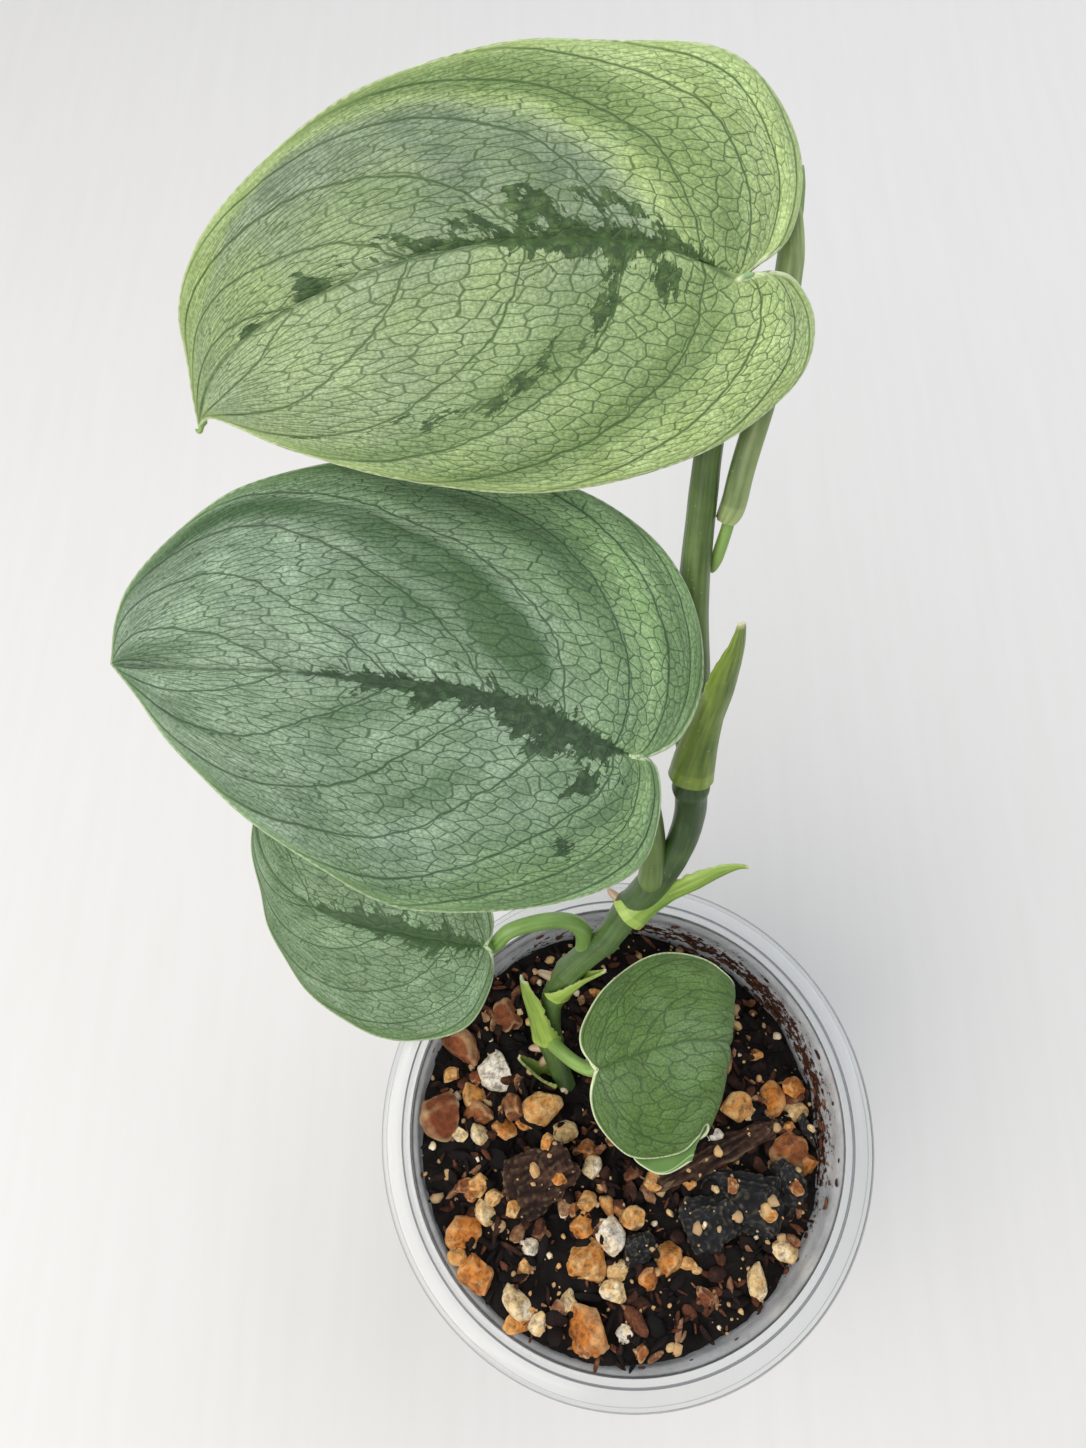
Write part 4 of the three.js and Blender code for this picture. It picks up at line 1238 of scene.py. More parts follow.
    def face_upwards(self, blade: Object) -> None:
        """Turns the faces over if they look down.

        Args:
            blade: The blade's piece.
        """
        facing = Vector(self.facing)
        total = sum((face.normal.dot(facing) * face.area for face in blade.data.polygons), 0.0)
        if total < 0:
            activate(blade)
            bpy.ops.object.mode_set(mode="EDIT")
            bpy.ops.mesh.select_all(action="SELECT")
            bpy.ops.mesh.flip_normals()
            bpy.ops.object.mode_set(mode="OBJECT")

    def halves(self, signed: np.ndarray) -> tuple[tuple[HalfBlade, np.ndarray], ...]:
        """Pairs the markings of each half with the points that lie on it."""
        return (self.right_marks, signed < 0), (self.left_marks, signed >= 0)

    def span(self, rows: np.ndarray, signed: np.ndarray) -> np.ndarray:
        """Gives the half blade's width at each point."""
        margin = self.flat_at(rows, np.sign(signed + 1e-9))
        return np.linalg.norm(margin - self.flat_at(rows, 0 * rows), axis=1)

    def relief(self, points: BladePoints) -> np.ndarray:
        """Gives the height of the quilting between the side veins, of the folds and of the sunken midrib.

        Args:
            points: The grid's points.

        Returns:
            Heights above the plain bent blade.
        """
        rows, signed = points.rows, points.signed
        away = np.abs(signed)
        span = self.span(rows, signed)
        before_tip = np.clip(4 * (1 - rows), 0, 1)
        ends = np.clip(span / 10, 0, 1) * np.clip(5 * (1 - rows), 0, 1)
        envelope = np.clip(away * 4, 0, 1) * np.clip((1.04 - away) * 4, 0, 1) * ends
        side_count = self.fine_veins * points.number / 4 + self.vein_shift
        quilt = self.pleat * (np.abs(np.sin(np.pi * side_count)) ** 0.6 - 0.6)
        wave = 2 * np.pi * (side_count / 2.3 + 0.2 * self.seed) + np.where(signed < 0, 0, 1.7)
        swell = self.broad * np.sin(wave)
        fold = np.zeros(len(rows))
        for marks, here in self.halves(signed):
            for middle, half_width, depth in marks.folds:
                fold -= np.where(here, depth * np.exp(-(((points.number - middle) / half_width) ** 2)), 0)
        crease = -0.5 * np.exp(-((away * span / 0.9) ** 2)) * before_tip * np.clip(span / 6, 0, 1)
        waves = 0.25 * np.sin(2 * np.pi * 5.5 * rows + 1.5 * signed) * away**3 * before_tip
        uneven = 0.12 * lumps(points.flat, 7.0, self.seed + 2) * envelope
        return (quilt + swell + fold) * envelope + crease + waves + uneven

    def silver_field(self, points: BladePoints) -> np.ndarray:
        """Says how silvery each point is.

        Args:
            points: The grid's points.

        Returns:
            1 well inside the silver and 0 well outside it.
        """
        silver = np.zeros(len(points.rows))
        for marks, here in self.halves(points.signed):
            limit = np.interp(points.rows, *np.array(marks.silver).T)
            share = np.clip(0.5 + (points.number - limit) / marks.silver_border, 0, 1)
            fade = 1 - marks.silver_fade * np.clip((points.number - 0.4) / 0.3, 0, 1)
            silver[here] = (marks.silver_most * share * fade)[here]
        return silver

    def painted_light_and_tone_field(self, points: BladePoints) -> np.ndarray:
        """Adds up the pale and dark stripes along the side veins: painted light and shade across the pleats and
        folds, and partly real tone.

        Args:
            points: The grid's points.

        Returns:
            Tones from -1 for dark to 1 for pale.
        """
        tone = np.zeros(len(points.rows))
        for marks, here in self.halves(points.signed):
            for middle, half_width, strength in marks.painted_light_and_tone_bands:
                tone += np.where(here, strength * np.exp(-(((points.number - middle) / half_width) ** 4)), 0)
        return tone * np.clip(np.abs(points.signed) * 5, 0, 1)

    def splash_field(self, points: BladePoints) -> np.ndarray:
        """Says how deep each point lies inside the dark splash along the midrib, its streak or its spots.

        Args:
            points: The grid's points.

        Returns:
            Depths in millimetres, negative outside.
        """
        away = np.abs(points.signed)
        span = self.span(points.rows, points.signed)
        deep = np.zeros(len(away))
        for marks, here in self.halves(points.signed):
            reach = np.interp(points.rows, *np.array(marks.splash).T)
            deep = np.where(here, (reach - away) * span, deep)
            for along, across, radius in marks.spots:
                inside = radius - np.hypot(points.flat[:, 0] - along, points.flat[:, 1] - across)
                deep = np.where(here, np.maximum(deep, inside), deep)
            for start, first, end, last, width in marks.fingers:
                share = (away - start) / (end - start)
                middle = first + (last - first) * share
                off_middle = np.abs(points.number - middle) * self.fine_veins * VEIN_SPACING
                tapered = width * (1.15 - share) - off_middle
                in_finger = np.where((share >= 0) & (share <= 1), tapered, FAR_OUTSIDE)
                deep = np.where(here, np.maximum(deep, in_finger), deep)
        if self.streak:
            shares, middles, widths = np.array(self.streak, float).T
            middle = np.interp(away, shares, middles)
            width = np.interp(away, shares, widths, left=FAR_OUTSIDE, right=FAR_OUTSIDE)
            in_streak = width - np.abs(points.number - middle) * self.fine_veins * VEIN_SPACING
            deep = np.where(points.signed > 0, np.maximum(deep, in_streak), deep)
        return np.clip(deep, FAR_OUTSIDE, -FAR_OUTSIDE)


@dataclass
class Rod(SubAssembly):
    """A round stem or petiole of changing thickness along a smooth route of [x, y, z, radius].

    rings are swollen nodes, as shares of the route. channel is the depth of the groove along the upper side,
    and shades darkens the skin from the first end to the last.
    """

    name: str = ""
    node: str = ""
    slot: str = "petiole"
    route: Outline = ()
    skin: GreenSkin | None = None
    rings: Sequence[float] = ()
    swelling: float = 0.14
    channel: float = 0.0
    shades: Outline = ((0, 0.3), (1, 0.3))
    steps: int = 120
    sides: int = 28

    def lay(self, rows: np.ndarray, columns: np.ndarray) -> np.ndarray:
        """Places points on the rod's skin.

        Args:
            rows: Shares along the route.
            columns: Shares round it.

        Returns:
            Places in space.
        """
        stations, index = np.unique(rows, return_inverse=True)
        line = through(self.route, stations)
        tangent = unit(np.gradient(line[:, :3], axis=0))
        normals = [unit(np.cross(tangent[0], [0.3, 1.0, 0.2]))]
        for ahead in tangent[1:]:
            normals.append(unit(normals[-1] - (normals[-1] @ ahead) * ahead))
        normal = np.array(normals)
        binormal = np.cross(tangent, normal)
        swell = np.zeros(len(stations))
        for ring in self.rings:
            swell += np.exp(-(((stations - ring) / 0.012) ** 2))
        radius = line[:, 3] * (1 + self.swelling * swell)
        rounding = np.clip(np.minimum(stations, 1 - stations) * len(self.route) * 2.2, 0.02, 1) ** 0.35
        radius = radius * rounding
        angle = 2 * np.pi * columns
        groove = 1 - self.channel * np.exp(-(((angle - np.pi) / 0.5) ** 2))
        around = np.cos(angle)[:, None] * normal[index] + np.sin(angle)[:, None] * binormal[index]
        place = line[index, :3] + around * (radius[index] * groove)[:, None]
        unevenness = np.minimum(0.05, 0.1 * radius[index]) * lumps(place, 4.0, 3.0)
        return place + around * unevenness[:, None]

    def build(self) -> None:
        """Wraps a grid round the route and closes its ends."""
        rod, rows, columns = new_grid(self.name, self.steps, self.sides)
        put_vertices(rod, self.lay(rows, columns))
        girth = 2 * np.pi * through(self.route, np.linspace(0, 1, 100))[:, 3].mean()
        give_attribute(rod, "shade", np.interp(rows, *np.array(self.shades).T))
        give_flat_map(rod, np.stack([columns * girth, rows * length_of(self.route)], axis=1))
        merge_and_close(rod, close=True)
        rod.data.materials.append(self.skin.material())
        smooth(rod, 60)
        self.keep(rod, self.slot, *([self.node] if self.node else []))


@dataclass
class Scale(SubAssembly):
    """A thin pointed leaf scale that clasps the stem at its foot.

    Its route is [x, y, z, inner radius, wrap in degrees]. membrane is the width of the papery strip along its
    margins, as a share of the wrap, and dried is how far this has dried. ragged is how uneven the margins
    are.
    """

    name: str = ""
    node: str = ""
    slot: str = "leaf_scale"
    route: Outline = ()
    opening: tuple[float, float, float] = (0, 1, 0)
    skin: GreenSkin | None = None
    thickness: float = 0.45
    membrane: float = 0.16
    dried: float = 0.45
    ragged: float = 0.1
    shade: float = 0.3
    steps: int = 90
    sections: int = 40

    def lay(self, rows: np.ndarray, columns: np.ndarray) -> np.ndarray:
        """Places points on the middle of the scale's thickness.

        Args:
            rows: Shares from foot to tip.
            columns: Shares from one margin to the other.

        Returns:
            Places in space.
        """
        stations, index = np.unique(rows, return_inverse=True)
        line = through(self.route, stations)
        tangent = unit(np.gradient(line[:, :3], axis=0))
        opening = np.array(self.opening, float)
        spine = -unit(opening - (tangent @ opening)[:, None] * tangent)
        side = np.cross(tangent, spine)
        signed = 2 * columns - 1
        tear = self.ragged * lumps(np.stack([rows * 60, np.sign(signed) * 9], axis=1), 2.2, 5.0)
        wrap = np.radians(line[index, 4]) * (1 + tear * np.clip((np.abs(signed) - 0.7) / 0.3, 0, 1))
        angle = wrap * signed
        radius = line[index, 3] + self.thickness / 2 + 0.1
        rib = 0.05 * np.sin(9 * np.pi * columns) * np.clip(1 - rows, 0, 1)
        reach = (radius + rib)[:, None]
        around = np.cos(angle)[:, None] * spine[index] + np.sin(angle)[:, None] * side[index]
        return line[index, :3] + reach * around

    def build(self) -> None:
        """Lays a grid along the scale and thickens it."""
        scale, rows, columns = new_grid(self.name, self.steps, self.sections)
        put_vertices(scale, self.lay(rows, columns))
        near_margin = np.clip(1 - np.minimum(columns, 1 - columns) / self.membrane, 0, 1)
        near_tip = np.clip((rows - 0.93) / 0.07, 0, 1)
        give_attribute(scale, "dryness", np.maximum(near_margin * self.dried, 0.6 * near_tip))
        in_middle = 0.175 * np.cos(2 * np.pi * (columns - 0.5))
        give_attribute(scale, "shade", self.shade + in_middle - 0.25 * (rows < 0.06))
        line = through(self.route, np.linspace(0, 1, 60))
        width = 2 * np.mean(line[:, 3] * np.radians(line[:, 4]))
        give_flat_map(scale, np.stack([columns * width, rows * length_of(self.route)], axis=1))
        merge_and_close(scale)
        scale.data.materials.append(self.skin.material())
        apply_modifier(scale, "SOLIDIFY", thickness=self.thickness * MM, offset=0.0, use_rim=True)
        merge_and_close(scale)
        smooth(scale, 50)
        self.keep(scale, self.slot, self.node)


class GrainColour(Enum):
    """Places on the colour ramp of the clay, pumice and perlite grains."""

    RUST = 0.04
    BROWN = 0.2
    ORANGE = 0.4
    TAN = 0.58
    CREAM = 0.8
    WHITE = 1.0


@dataclass
class BarkMix(SubAssembly):
    """Coarse compost that fills the cup: a dark lumpy bed with crumbs, clay, perlite, bark and charcoal."""

    cup: Cup = field(default_factory=Cup)
    depth_below_rim: float = 8.3
    fall_right: float = 0.10
    fall_back: float = 0.14
    lump: float = 0.9
    clearance: float = 0.3
    seed: int = 11
    crumbs: int = 1700
    small_grains: int = 120
    perlites: int = 36
    dust_grains: int = 420
    wall_crumbs: int = 90
    rings: int = 90
    spokes: int = 220

    # The grains that can be told apart from above: [x, y, size]
    large_grains: dict = field(
        default_factory=lambda: {
            GrainColour.RUST: ((-33, 15, 7.4), (-24, 21, 6), (-38, 2.5, 8)),
            GrainColour.BROWN: (
                (-29, 2, 4.6), (-22, 3, 4.6), (-8, -4.5, 3.6), (33, -4.5, 6.4), (-30, -12, 2.8),
            ),
            GrainColour.ORANGE: (
                (-24.5, 0, 5), (-20, 0.5, 2.6), (-31, -18.5, 6.6), (-29.5, -24, 5), (-30, -28, 5),
                (-9, -18, 4.6), (-8.5, -36.5, 8.6), (3.5, -26.5, 4), (35, 7, 4), (30, 4.5, 6.2),
                (33.5, -0.5, 3.4), (36, -7, 4.2),
            ),
            GrainColour.TAN: (
                (-34.5, 9.5, 3.4), (-30, 5.5, 4.4), (-16, 3, 7.6), (-15.5, -3, 3), (-28.5, -10, 4),
                (-22, -15, 3), (-32, -23, 3.6), (-8, -14, 3.4), (-8, -23.5, 7.4), (-4, -14.5, 3.6),
                (0.5, -16.5, 4.8), (-21, -33.5, 5.4), (22.5, 3, 6), (5, -10, 4), (7.5, -24, 5.2),
                (-25.5, -12.5, 3),
            ),
            GrainColour.CREAM: (
                (-32.5, -1.5, 2.6), (-28.5, -1.5, 4), (-12, -1, 4), (-7, -8, 3.8), (-27, -15, 4.4),
                (-2, -25.5, 4.6), (-3, -28.5, 4.4), (-12, -30.5, 4.4), (-21, -29.5, 5), (-17, -33, 3.8),
                (35, 3, 4.2), (24, -27, 4.6), (30, -22, 4.6),
            ),
            GrainColour.WHITE: (
                (-26, 10.5, 6.6), (-3.5, -19, 6), (-19, -21, 3), (-8, -34, 3.2), (-1.5, -35, 3),
                (18, -2, 3),
            ),
        }
    )

    def height_at(self, x: np.ndarray, y: np.ndarray) -> np.ndarray:
        """Gives the bed's height from the rim plane.

        Args:
            x: Places to the right.
            y: Places to the back.

        Returns:
            Heights.
        """
        waves = np.sin(0.31 * x + 0.17 * y) + np.sin(0.23 * x - 0.36 * y + 1.3)
        waves += np.sin(0.4 * x + 0.61 * y + 2.1)
        return -self.depth_below_rim - self.fall_right * x - self.fall_back * y + self.lump * waves / 2

    def edge_at(self, angle: np.ndarray) -> np.ndarray:
        """Gives the bed's radius, just inside the cup's wall.

        Args:
            angle: Directions from the middle.

        Returns:
            Radii.
        """
        rim = self.cup.mouth_radius
        height = self.height_at(rim * np.cos(angle), rim * np.sin(angle))
        return self.cup.inner_radius(height) - self.clearance

    def build(self) -> None:
        """Makes the bed and everything that lies in it."""
        draw = random.Random(self.seed)
        ground = [self.build_bed()]
        self.surface = self.look_down_on(ground)
        self.build_crumbs(draw)
        ground += self.build_blocks()
        self.surface = self.look_down_on(ground)
        self.build_grains(draw)

    def look_down_on(self, pieces: Sequence[Object]) -> BVHTree:
        """Gathers pieces' faces, to find the height of what lies at a place.

        Args:
            pieces: The pieces.

        Returns:
            The tree of their faces.
        """
        corners, faces = [], []
        for piece in pieces:
            first = len(corners)
            corners += [v.co.copy() for v in piece.data.vertices]
            faces += [[first + v for v in face.vertices] for face in piece.data.polygons]
        return BVHTree.FromPolygons(corners, faces)

    def top_at(self, x: float, y: float) -> float:
        """Finds the height of the uppermost face at a place.

        Args:
            x: Place to the right.
            y: Place to the back.

        Returns:
            The height from the rim plane.
        """
        hit = self.surface.ray_cast(Vector((x * MM, y * MM, 0.2)), Vector((0, 0, -1)))[0]
        return hit.z / MM - RIM_HEIGHT if hit else float(self.height_at(x, y))

    def build_bed(self) -> Object:
        """Makes the plug: a rough top, the side against the cup's wall, and the bottom.

        Returns:
            The bed.
        """
        bed, rows, columns = new_grid("compost_bed", self.rings, self.spokes)
        angle = 2 * np.pi * columns
        edge = self.edge_at(angle)
        # The grid's rows go out over the top, down the side and back in under it
        out = np.clip(rows / 0.72, 0, 1)
        down = np.clip((rows - 0.72) / 0.22, 0, 1)
        back = np.clip((rows - 0.94) / 0.06, 0, 1)
        bottom = -self.cup.height + self.cup.floor + self.clearance
        top = self.height_at(edge * np.cos(angle), edge * np.sin(angle))
        z_side = top + (bottom - top) * down
        wall = self.cup.inner_radius(z_side) - self.clearance
        radius = np.where(down > 0, wall, edge * out) * (1 - back) - 1.2 * ((down >= 1) & (back < 1))
        x, y = radius * np.cos(angle), radius * np.sin(angle)
        z = np.where(down > 0, z_side, self.height_at(x, y))
        places = np.stack([x, y, z], axis=1)
        rough = 1.7 * lumps(places, 4.4) + 1.1 * lumps(places, 1.9, 4.0) + 0.4 * lumps(places, 0.9, 9.0)
        places[:, 2] += np.where((down <= 0) & (out < 0.995), rough * 0.8, 0)
        inward = np.minimum(np.where((down > 0) & (back <= 0), 0.35 * (rough - 1.0), 0), 0)
        places[:, :2] += np.stack([np.cos(angle), np.sin(angle)], axis=1) * inward[:, None]
        put_vertices(bed, places)
        merge_and_close(bed)
        places = np.array([v.co for v in bed.data.vertices]) / MM
        below_top = places[:, 2] - RIM_HEIGHT < self.height_at(places[:, 0], places[:, 1]) - 1.5
        give_attribute(bed, "tone", np.where(below_top, 0.6 + 0.5 * lumps(places, 2.2), 0.35))
        # Composted bark holds water: almost black, lumpy and dull
        compost = Mineral(
            "Composted bark, damp",
            ("#080505", "#0f0a08", "#1c120e", "#3a251b"),
            stain="#050303",
            stain_share=0.8,
            pit_size=1.1,
            pit_depth=0.6,
            roughness=0.85,
        )
        bed.data.materials.append(compost.material())
        smooth(bed, 70)
        return self.keep(bed, "bark_mix", "bark_mix")

    def hewn(self, places: np.ndarray, seed: float, cuts: int, depth: float) -> np.ndarray:
        """Cuts flat faces in random directions off a rounded shape, and leaves it lumpy.

        Args:
            places: Places on the shape, whose radius is about 1.
            seed: Gives other cuts for another number.
            cuts: Number of cuts.
            depth: How far the cuts go in, as a share of the radius.

        Returns:
            The places on the cut shape.
        """
        draw = random.Random(seed)
        shape = places * (1 + 0.3 * lumps(places, 0.9, seed))[:, None]
        for _ in range(cuts):
            direction = unit(np.array([draw.gauss(0, 1) for _ in range(3)]))
            beyond = np.maximum(0, shape @ direction - draw.uniform(1 - depth, 1.0))
            shape = shape - 0.88 * beyond[:, None] * direction
        rough = 0.05 * lumps(places, 0.35, seed + 3) + 0.03 * lumps(places, 0.16, seed + 8)
        return shape * (1 + rough)[:, None]

    def rough_stone(self, name: str, seed: float, cuts: int, depth: float, subdivisions: int) -> Object:
        """Makes one rough grain of size 1 millimetre, the pattern for many copies.

        Args:
            name: Its name.
            seed: Gives another shape for another number.
            cuts: Number of flat faces.
            depth: How far these are cut in.
            subdivisions: How fine its faces are.

        Returns:
            The grain, at the origin.
        """
        deselect()
        bpy.ops.mesh.primitive_ico_sphere_add(subdivisions=subdivisions, radius=1.0, location=(0, 0, 0))
        stone = bpy.context.object
        stone.name = name
        shape = self.hewn(np.array([v.co for v in stone.data.vertices]), seed, cuts, depth)
        stone.data.vertices.foreach_set("co", (0.56 * shape * MM).astype(np.float32).ravel())
        stone.data.update()
        if subdivisions < 3:
            # What is scattered by the hundred keeps about four dozen faces
            bpy.ops.object.mode_set(mode="EDIT")
            bpy.ops.mesh.select_all(action="SELECT")
            bpy.ops.mesh.decimate(ratio=0.6)
            bpy.ops.object.mode_set(mode="OBJECT")
        return stone

    def copy_stone(
        self, pattern: Object, place: Sequence[float], size: Sequence[float], turn: Sequence[float], tone: float
    ) -> Object:
        """Copies a pattern, with its own mesh, to a place in the bed.

        Args:
            pattern: The grain to copy.
            place: Its middle, in millimetres from the rim plane.
            size: Its length, width and height.
            turn: Its turns about X, Y and Z.
            tone: Where its colour lies, from 0 to 1.

        Returns:
            The copy.
        """
        copy = pattern.copy()
        copy.data = pattern.data.copy()
        bpy.context.scene.collection.objects.link(copy)
        copy.scale = size
        copy.rotation_euler = turn
        copy.location = [place[0] * MM, place[1] * MM, (place[2] + RIM_HEIGHT) * MM]
        give_attribute(copy, "tone", np.full(len(copy.data.vertices), tone))
        return copy

    def random_place(self, draw: random.Random, size: float) -> tuple[float, float]:
        """Draws a place in the cup for a grain.

        Args:
            draw: The repeatable draw.
            size: The grain's size, which keeps it off the wall.

        Returns:
            The place to the right and to the back.
        """
        angle = draw.uniform(0, 2 * math.pi)
        reach = (float(self.edge_at(np.array([angle]))[0]) - 0.6 * size) * math.sqrt(draw.random())
        return reach * math.cos(angle), reach * math.sin(angle)

    def build_grains(self, draw: random.Random) -> None:
        """Lays the clay grains where they are seen, smaller ones and dust between them, and white perlite.

        Args:
            draw: The repeatable draw.
        """
        stones = [self.rough_stone(f"stone_{k}", 2.0 + 3.1 * k, 9, 0.5, 4) for k in range(8)]
        grit = [self.rough_stone(f"grit_{k}", 51.0 + 3.1 * k, 7, 0.5, 2) for k in range(5)]
        grains = []
        for colour, places in self.large_grains.items():
            for x, y, size in places:
                edge = float(self.edge_at(np.array([math.atan2(y, x)]))[0])
                inward = min(1, (edge - 0.5 * size) / math.hypot(x, y))
                tone = colour.value + draw.uniform(-0.06, 0.06)
                place = (x * inward, y * inward)
                grains.append(self.lay_grain(draw, (stones, grit), place, size, 0.35, tone))
        # The more often a colour stands here, the more of the small grains have it; dust has the first five
        small = (GrainColour.RUST, GrainColour.BROWN, GrainColour.BROWN, GrainColour.ORANGE)
        small += (GrainColour.TAN, GrainColour.TAN, GrainColour.CREAM)
        for _ in range(self.small_grains):
            size = draw.uniform(1.2, 3.0)
            place = self.random_place(draw, size)
            tone = draw.choice(small).value
            grains.append(self.lay_grain(draw, (stones, grit), place, size, 0.3, tone))
        for _ in range(self.dust_grains):
            size = 0.3 + 0.8 * draw.random() ** 2
            place = self.random_place(draw, size)
            tone = draw.choice(small[:5]).value
            grains.append(self.lay_grain(draw, (stones, grit), place, size, 0.2, tone))
        for _ in range(self.perlites):
            size = draw.uniform(0.7, 2.0)
            place = self.random_place(draw, size)
            grains.append(self.lay_grain(draw, (stones, grit), place, size, 0.1, GrainColour.WHITE.value))
        # Fired clay and pumice are porous: matt, rust to cream, dark in their pits, and pale on jutting edges,
        # partly rubbed wear and partly a painted highlight
        clay = Mineral(
            "Fired clay, pumice and perlite grains",
            ("#7c3a18", "#93552a", "#cc7a26", "#d3944a", "#e6c78f", "#f2ebdc"),
            stain="#3c2212",
            stain_share=0.8,
            pit_size=1.3,
            pit_depth=0.5,
            wear_and_highlight=0.4,
            specular=0.5,
        )
        self.finish_heap("clay_grains", grains, stones + grit, clay)

    def lay_grain(
        self,
        draw: random.Random,
        patterns: tuple[Sequence[Object], Sequence[Object]],
        place: tuple[float, float],
        size: float,
        sunk: float,
        tone: float,
    ) -> Object:
        """Lays one grain into the surface.

        Args:
            draw: The repeatable draw.
            patterns: The grains to copy, fine ones for large grains and then coarse ones for small grains.
            place: Its place to the right and to the back.
            size: Its size.
            sunk: How deep it is sunk in, as a share of its size.
            tone: Where its colour lies, from 0 to 1.

        Returns:
            The grain.
        """
        z = self.top_at(*place) + (0.5 - sunk) * size * 0.8
        shape = [size * draw.uniform(1.0, 1.25), size * draw.uniform(0.8, 1.0), size * draw.uniform(0.7, 0.9)]
        turn = [draw.uniform(-0.5, 0.5), draw.uniform(-0.5, 0.5), draw.uniform(0, 6.28)]
        pattern = draw.choice(patterns[0] if size > 2.5 else patterns[1])
        return self.copy_stone(pattern, (*place, z), shape, turn, tone)

    def build_crumbs(self, draw: random.Random) -> None:
        """Scatters dark crumbs and splinters of bark over the bed, and a few crumbs on the cup's wall.

        Args:
            draw: The repeatable draw.
        """
        patterns = [self.rough_stone(f"crumb_{k}", 31.0 + 2.3 * k, 5, 0.6, 2) for k in range(6)]
        crumbs = []
        for index in range(self.crumbs):
            size = 0.7 + 3.6 * draw.random() ** 2.6
            x, y = self.random_place(draw, size)
            z = self.top_at(x, y) + draw.uniform(-0.2, 0.6)
            long = draw.uniform(1.0, 3.2) if size < 2.2 else draw.uniform(0.9, 1.5)
            shape = [size * long, size * draw.uniform(0.4, 0.9), size * draw.uniform(0.35, 0.8)]
            turn = [draw.uniform(-0.9, 0.9), draw.uniform(-0.9, 0.9), draw.uniform(0, 6.28)]
            tone = 0.95 * draw.random() ** 1.8
            crumbs.append(self.copy_stone(patterns[index % 6], (x, y, z), shape, turn, tone))
        for index in range(self.wall_crumbs):
            size = draw.uniform(0.5, 1.8)
            angle = math.radians(draw.gauss(45, 50))
            floor = float(self.height_at(40 * math.cos(angle), 40 * math.sin(angle)))
            z = floor + (-1.5 - floor) * draw.random() ** 2.2
            reach = self.cup.inner_radius(z) - 0.3 * size
            x, y = reach * math.cos(angle), reach * math.sin(angle)
            shape = [size * 0.4, size * draw.uniform(0.8, 1.6), size * draw.uniform(0.5, 1.2)]
            tone = draw.uniform(0.5, 0.8)
            crumbs.append(self.copy_stone(patterns[index % 6], (x, y, z), shape, [0, 0, angle], tone))
        # Crumbs of damp bark: nearly black and dull, with torn edges in red-brown
        bark = Mineral(
            "Bark crumbs, dark",
            ("#0b0606", "#190e0b", "#3a2016", "#6f4029", "#b58d68"),
            stain="#070404",
            stain_share=0.6,
            pit_size=0.5,
            pit_depth=0.3,
            roughness=0.8,
        )
        self.finish_heap("bark_crumbs", crumbs, patterns, bark)

    def finish_heap(
        self, name: str, copies: Sequence[Object], patterns: Sequence[Object], finish: Mineral
    ) -> None:
        """Joins a heap of grains, dresses it and removes the patterns.

        Args:
            name: The heap's name.
            copies: The grains.
            patterns: The grains that they were copied from.
            finish: The heap's finish.
        """
        heap = join(name, copies)
        heap.data.materials.append(finish.material())
        smooth(heap, 50)
        for pattern in patterns:
            bpy.data.objects.remove(pattern)
        self.keep(heap, "bark_mix")

    def build_blocks(self) -> list[Object]:
        """Makes the large bark pieces and charcoal lumps: cubes cut finer, hewn, and grooved along the grain.

        Returns:
            The blocks.
        """
        # Charcoal breaks in flat faces: black, a little cold, and grey where dust lies on it
        charcoal = Mineral(
            "Charcoal, dusty",
            ("#0b0b0d", "#17181b", "#292b30", "#46453f"),
            stain="#070708",
            wear_and_highlight=0.12,
            stain_share=0.5,
            pit_size=0.9,
            pit_depth=0.4,
            roughness=0.75,
        )
        # Pine bark splits along its grain: dark red-brown, with paler fibres on its ridges
        plank = Mineral(
            "Pine bark, dark",
            ("#1a100c", "#33211a", "#573b2e", "#8a6554"),
            stain="#0b0605",
            wear_and_highlight=0.12,
            stain_share=0.6,
            pit_size=0.8,
            pit_depth=0.6,
        )
        # [name, x, y, length, width, height, turn in degrees, groove depth, finish, seed]
        blocks = [
            ("bark_plank", 18.5, -4.9, 30, 6.0, 5.0, 25, 0.9, plank, 1.0),
            ("bark_chunk", -16.9, -9.6, 17, 13.0, 8.0, 25, 0.5, plank, 4.0),
            ("charcoal_slab", 22.0, -14.0, 20, 15.0, 7.0, -15, 0.05, charcoal, 7.0),
            ("charcoal_lump", 14.5, -16.5, 11, 12.0, 7.0, 35, 0.05, charcoal, 21.0),
            ("charcoal_chip", 32.0, -11.2, 7, 11.0, 6.0, 25, 0.05, charcoal, 9.0),
            ("charcoal_sliver", 37.0, -0.6, 3, 7.0, 5.0, 20, 0.05, charcoal, 15.0),
            ("charcoal_crumb", 1.5, -21.5, 8, 7.0, 5.0, 10, 0.05, charcoal, 12.0),
        ]
        made = []
        for name, x, y, length, width, height, turn, grooves, finish, seed in blocks:
            deselect()
            bpy.ops.mesh.primitive_cube_add(size=2.0, location=(0, 0, 0))
            block = bpy.context.object
            block.name = name
            bpy.ops.object.mode_set(mode="EDIT")
            bpy.ops.mesh.select_all(action="SELECT")
            bpy.ops.mesh.subdivide(number_cuts=36)
            bpy.ops.object.mode_set(mode="OBJECT")
            places = np.array([v.co for v in block.data.vertices])
            rounded = places / np.linalg.norm(places, ord=5, axis=1, keepdims=True)
            shape = self.hewn(rounded, seed, 14, 0.5) * [length / 2, width / 2, height / 2]
            grain = lumps(shape * [0.12, 1.0, 1.0], 1.1, seed + 2)
            rough = grooves * grain + 0.6 * lumps(shape, 2.4, seed + 5) + 0.35 * lumps(shape, 0.9, seed + 9)
            shape = shape + unit(rounded) * rough[:, None]
            turned = Euler((0.2, 0.0, math.radians(turn))).to_matrix()
            middle = float(self.height_at(x, y)) + 0.3 * height
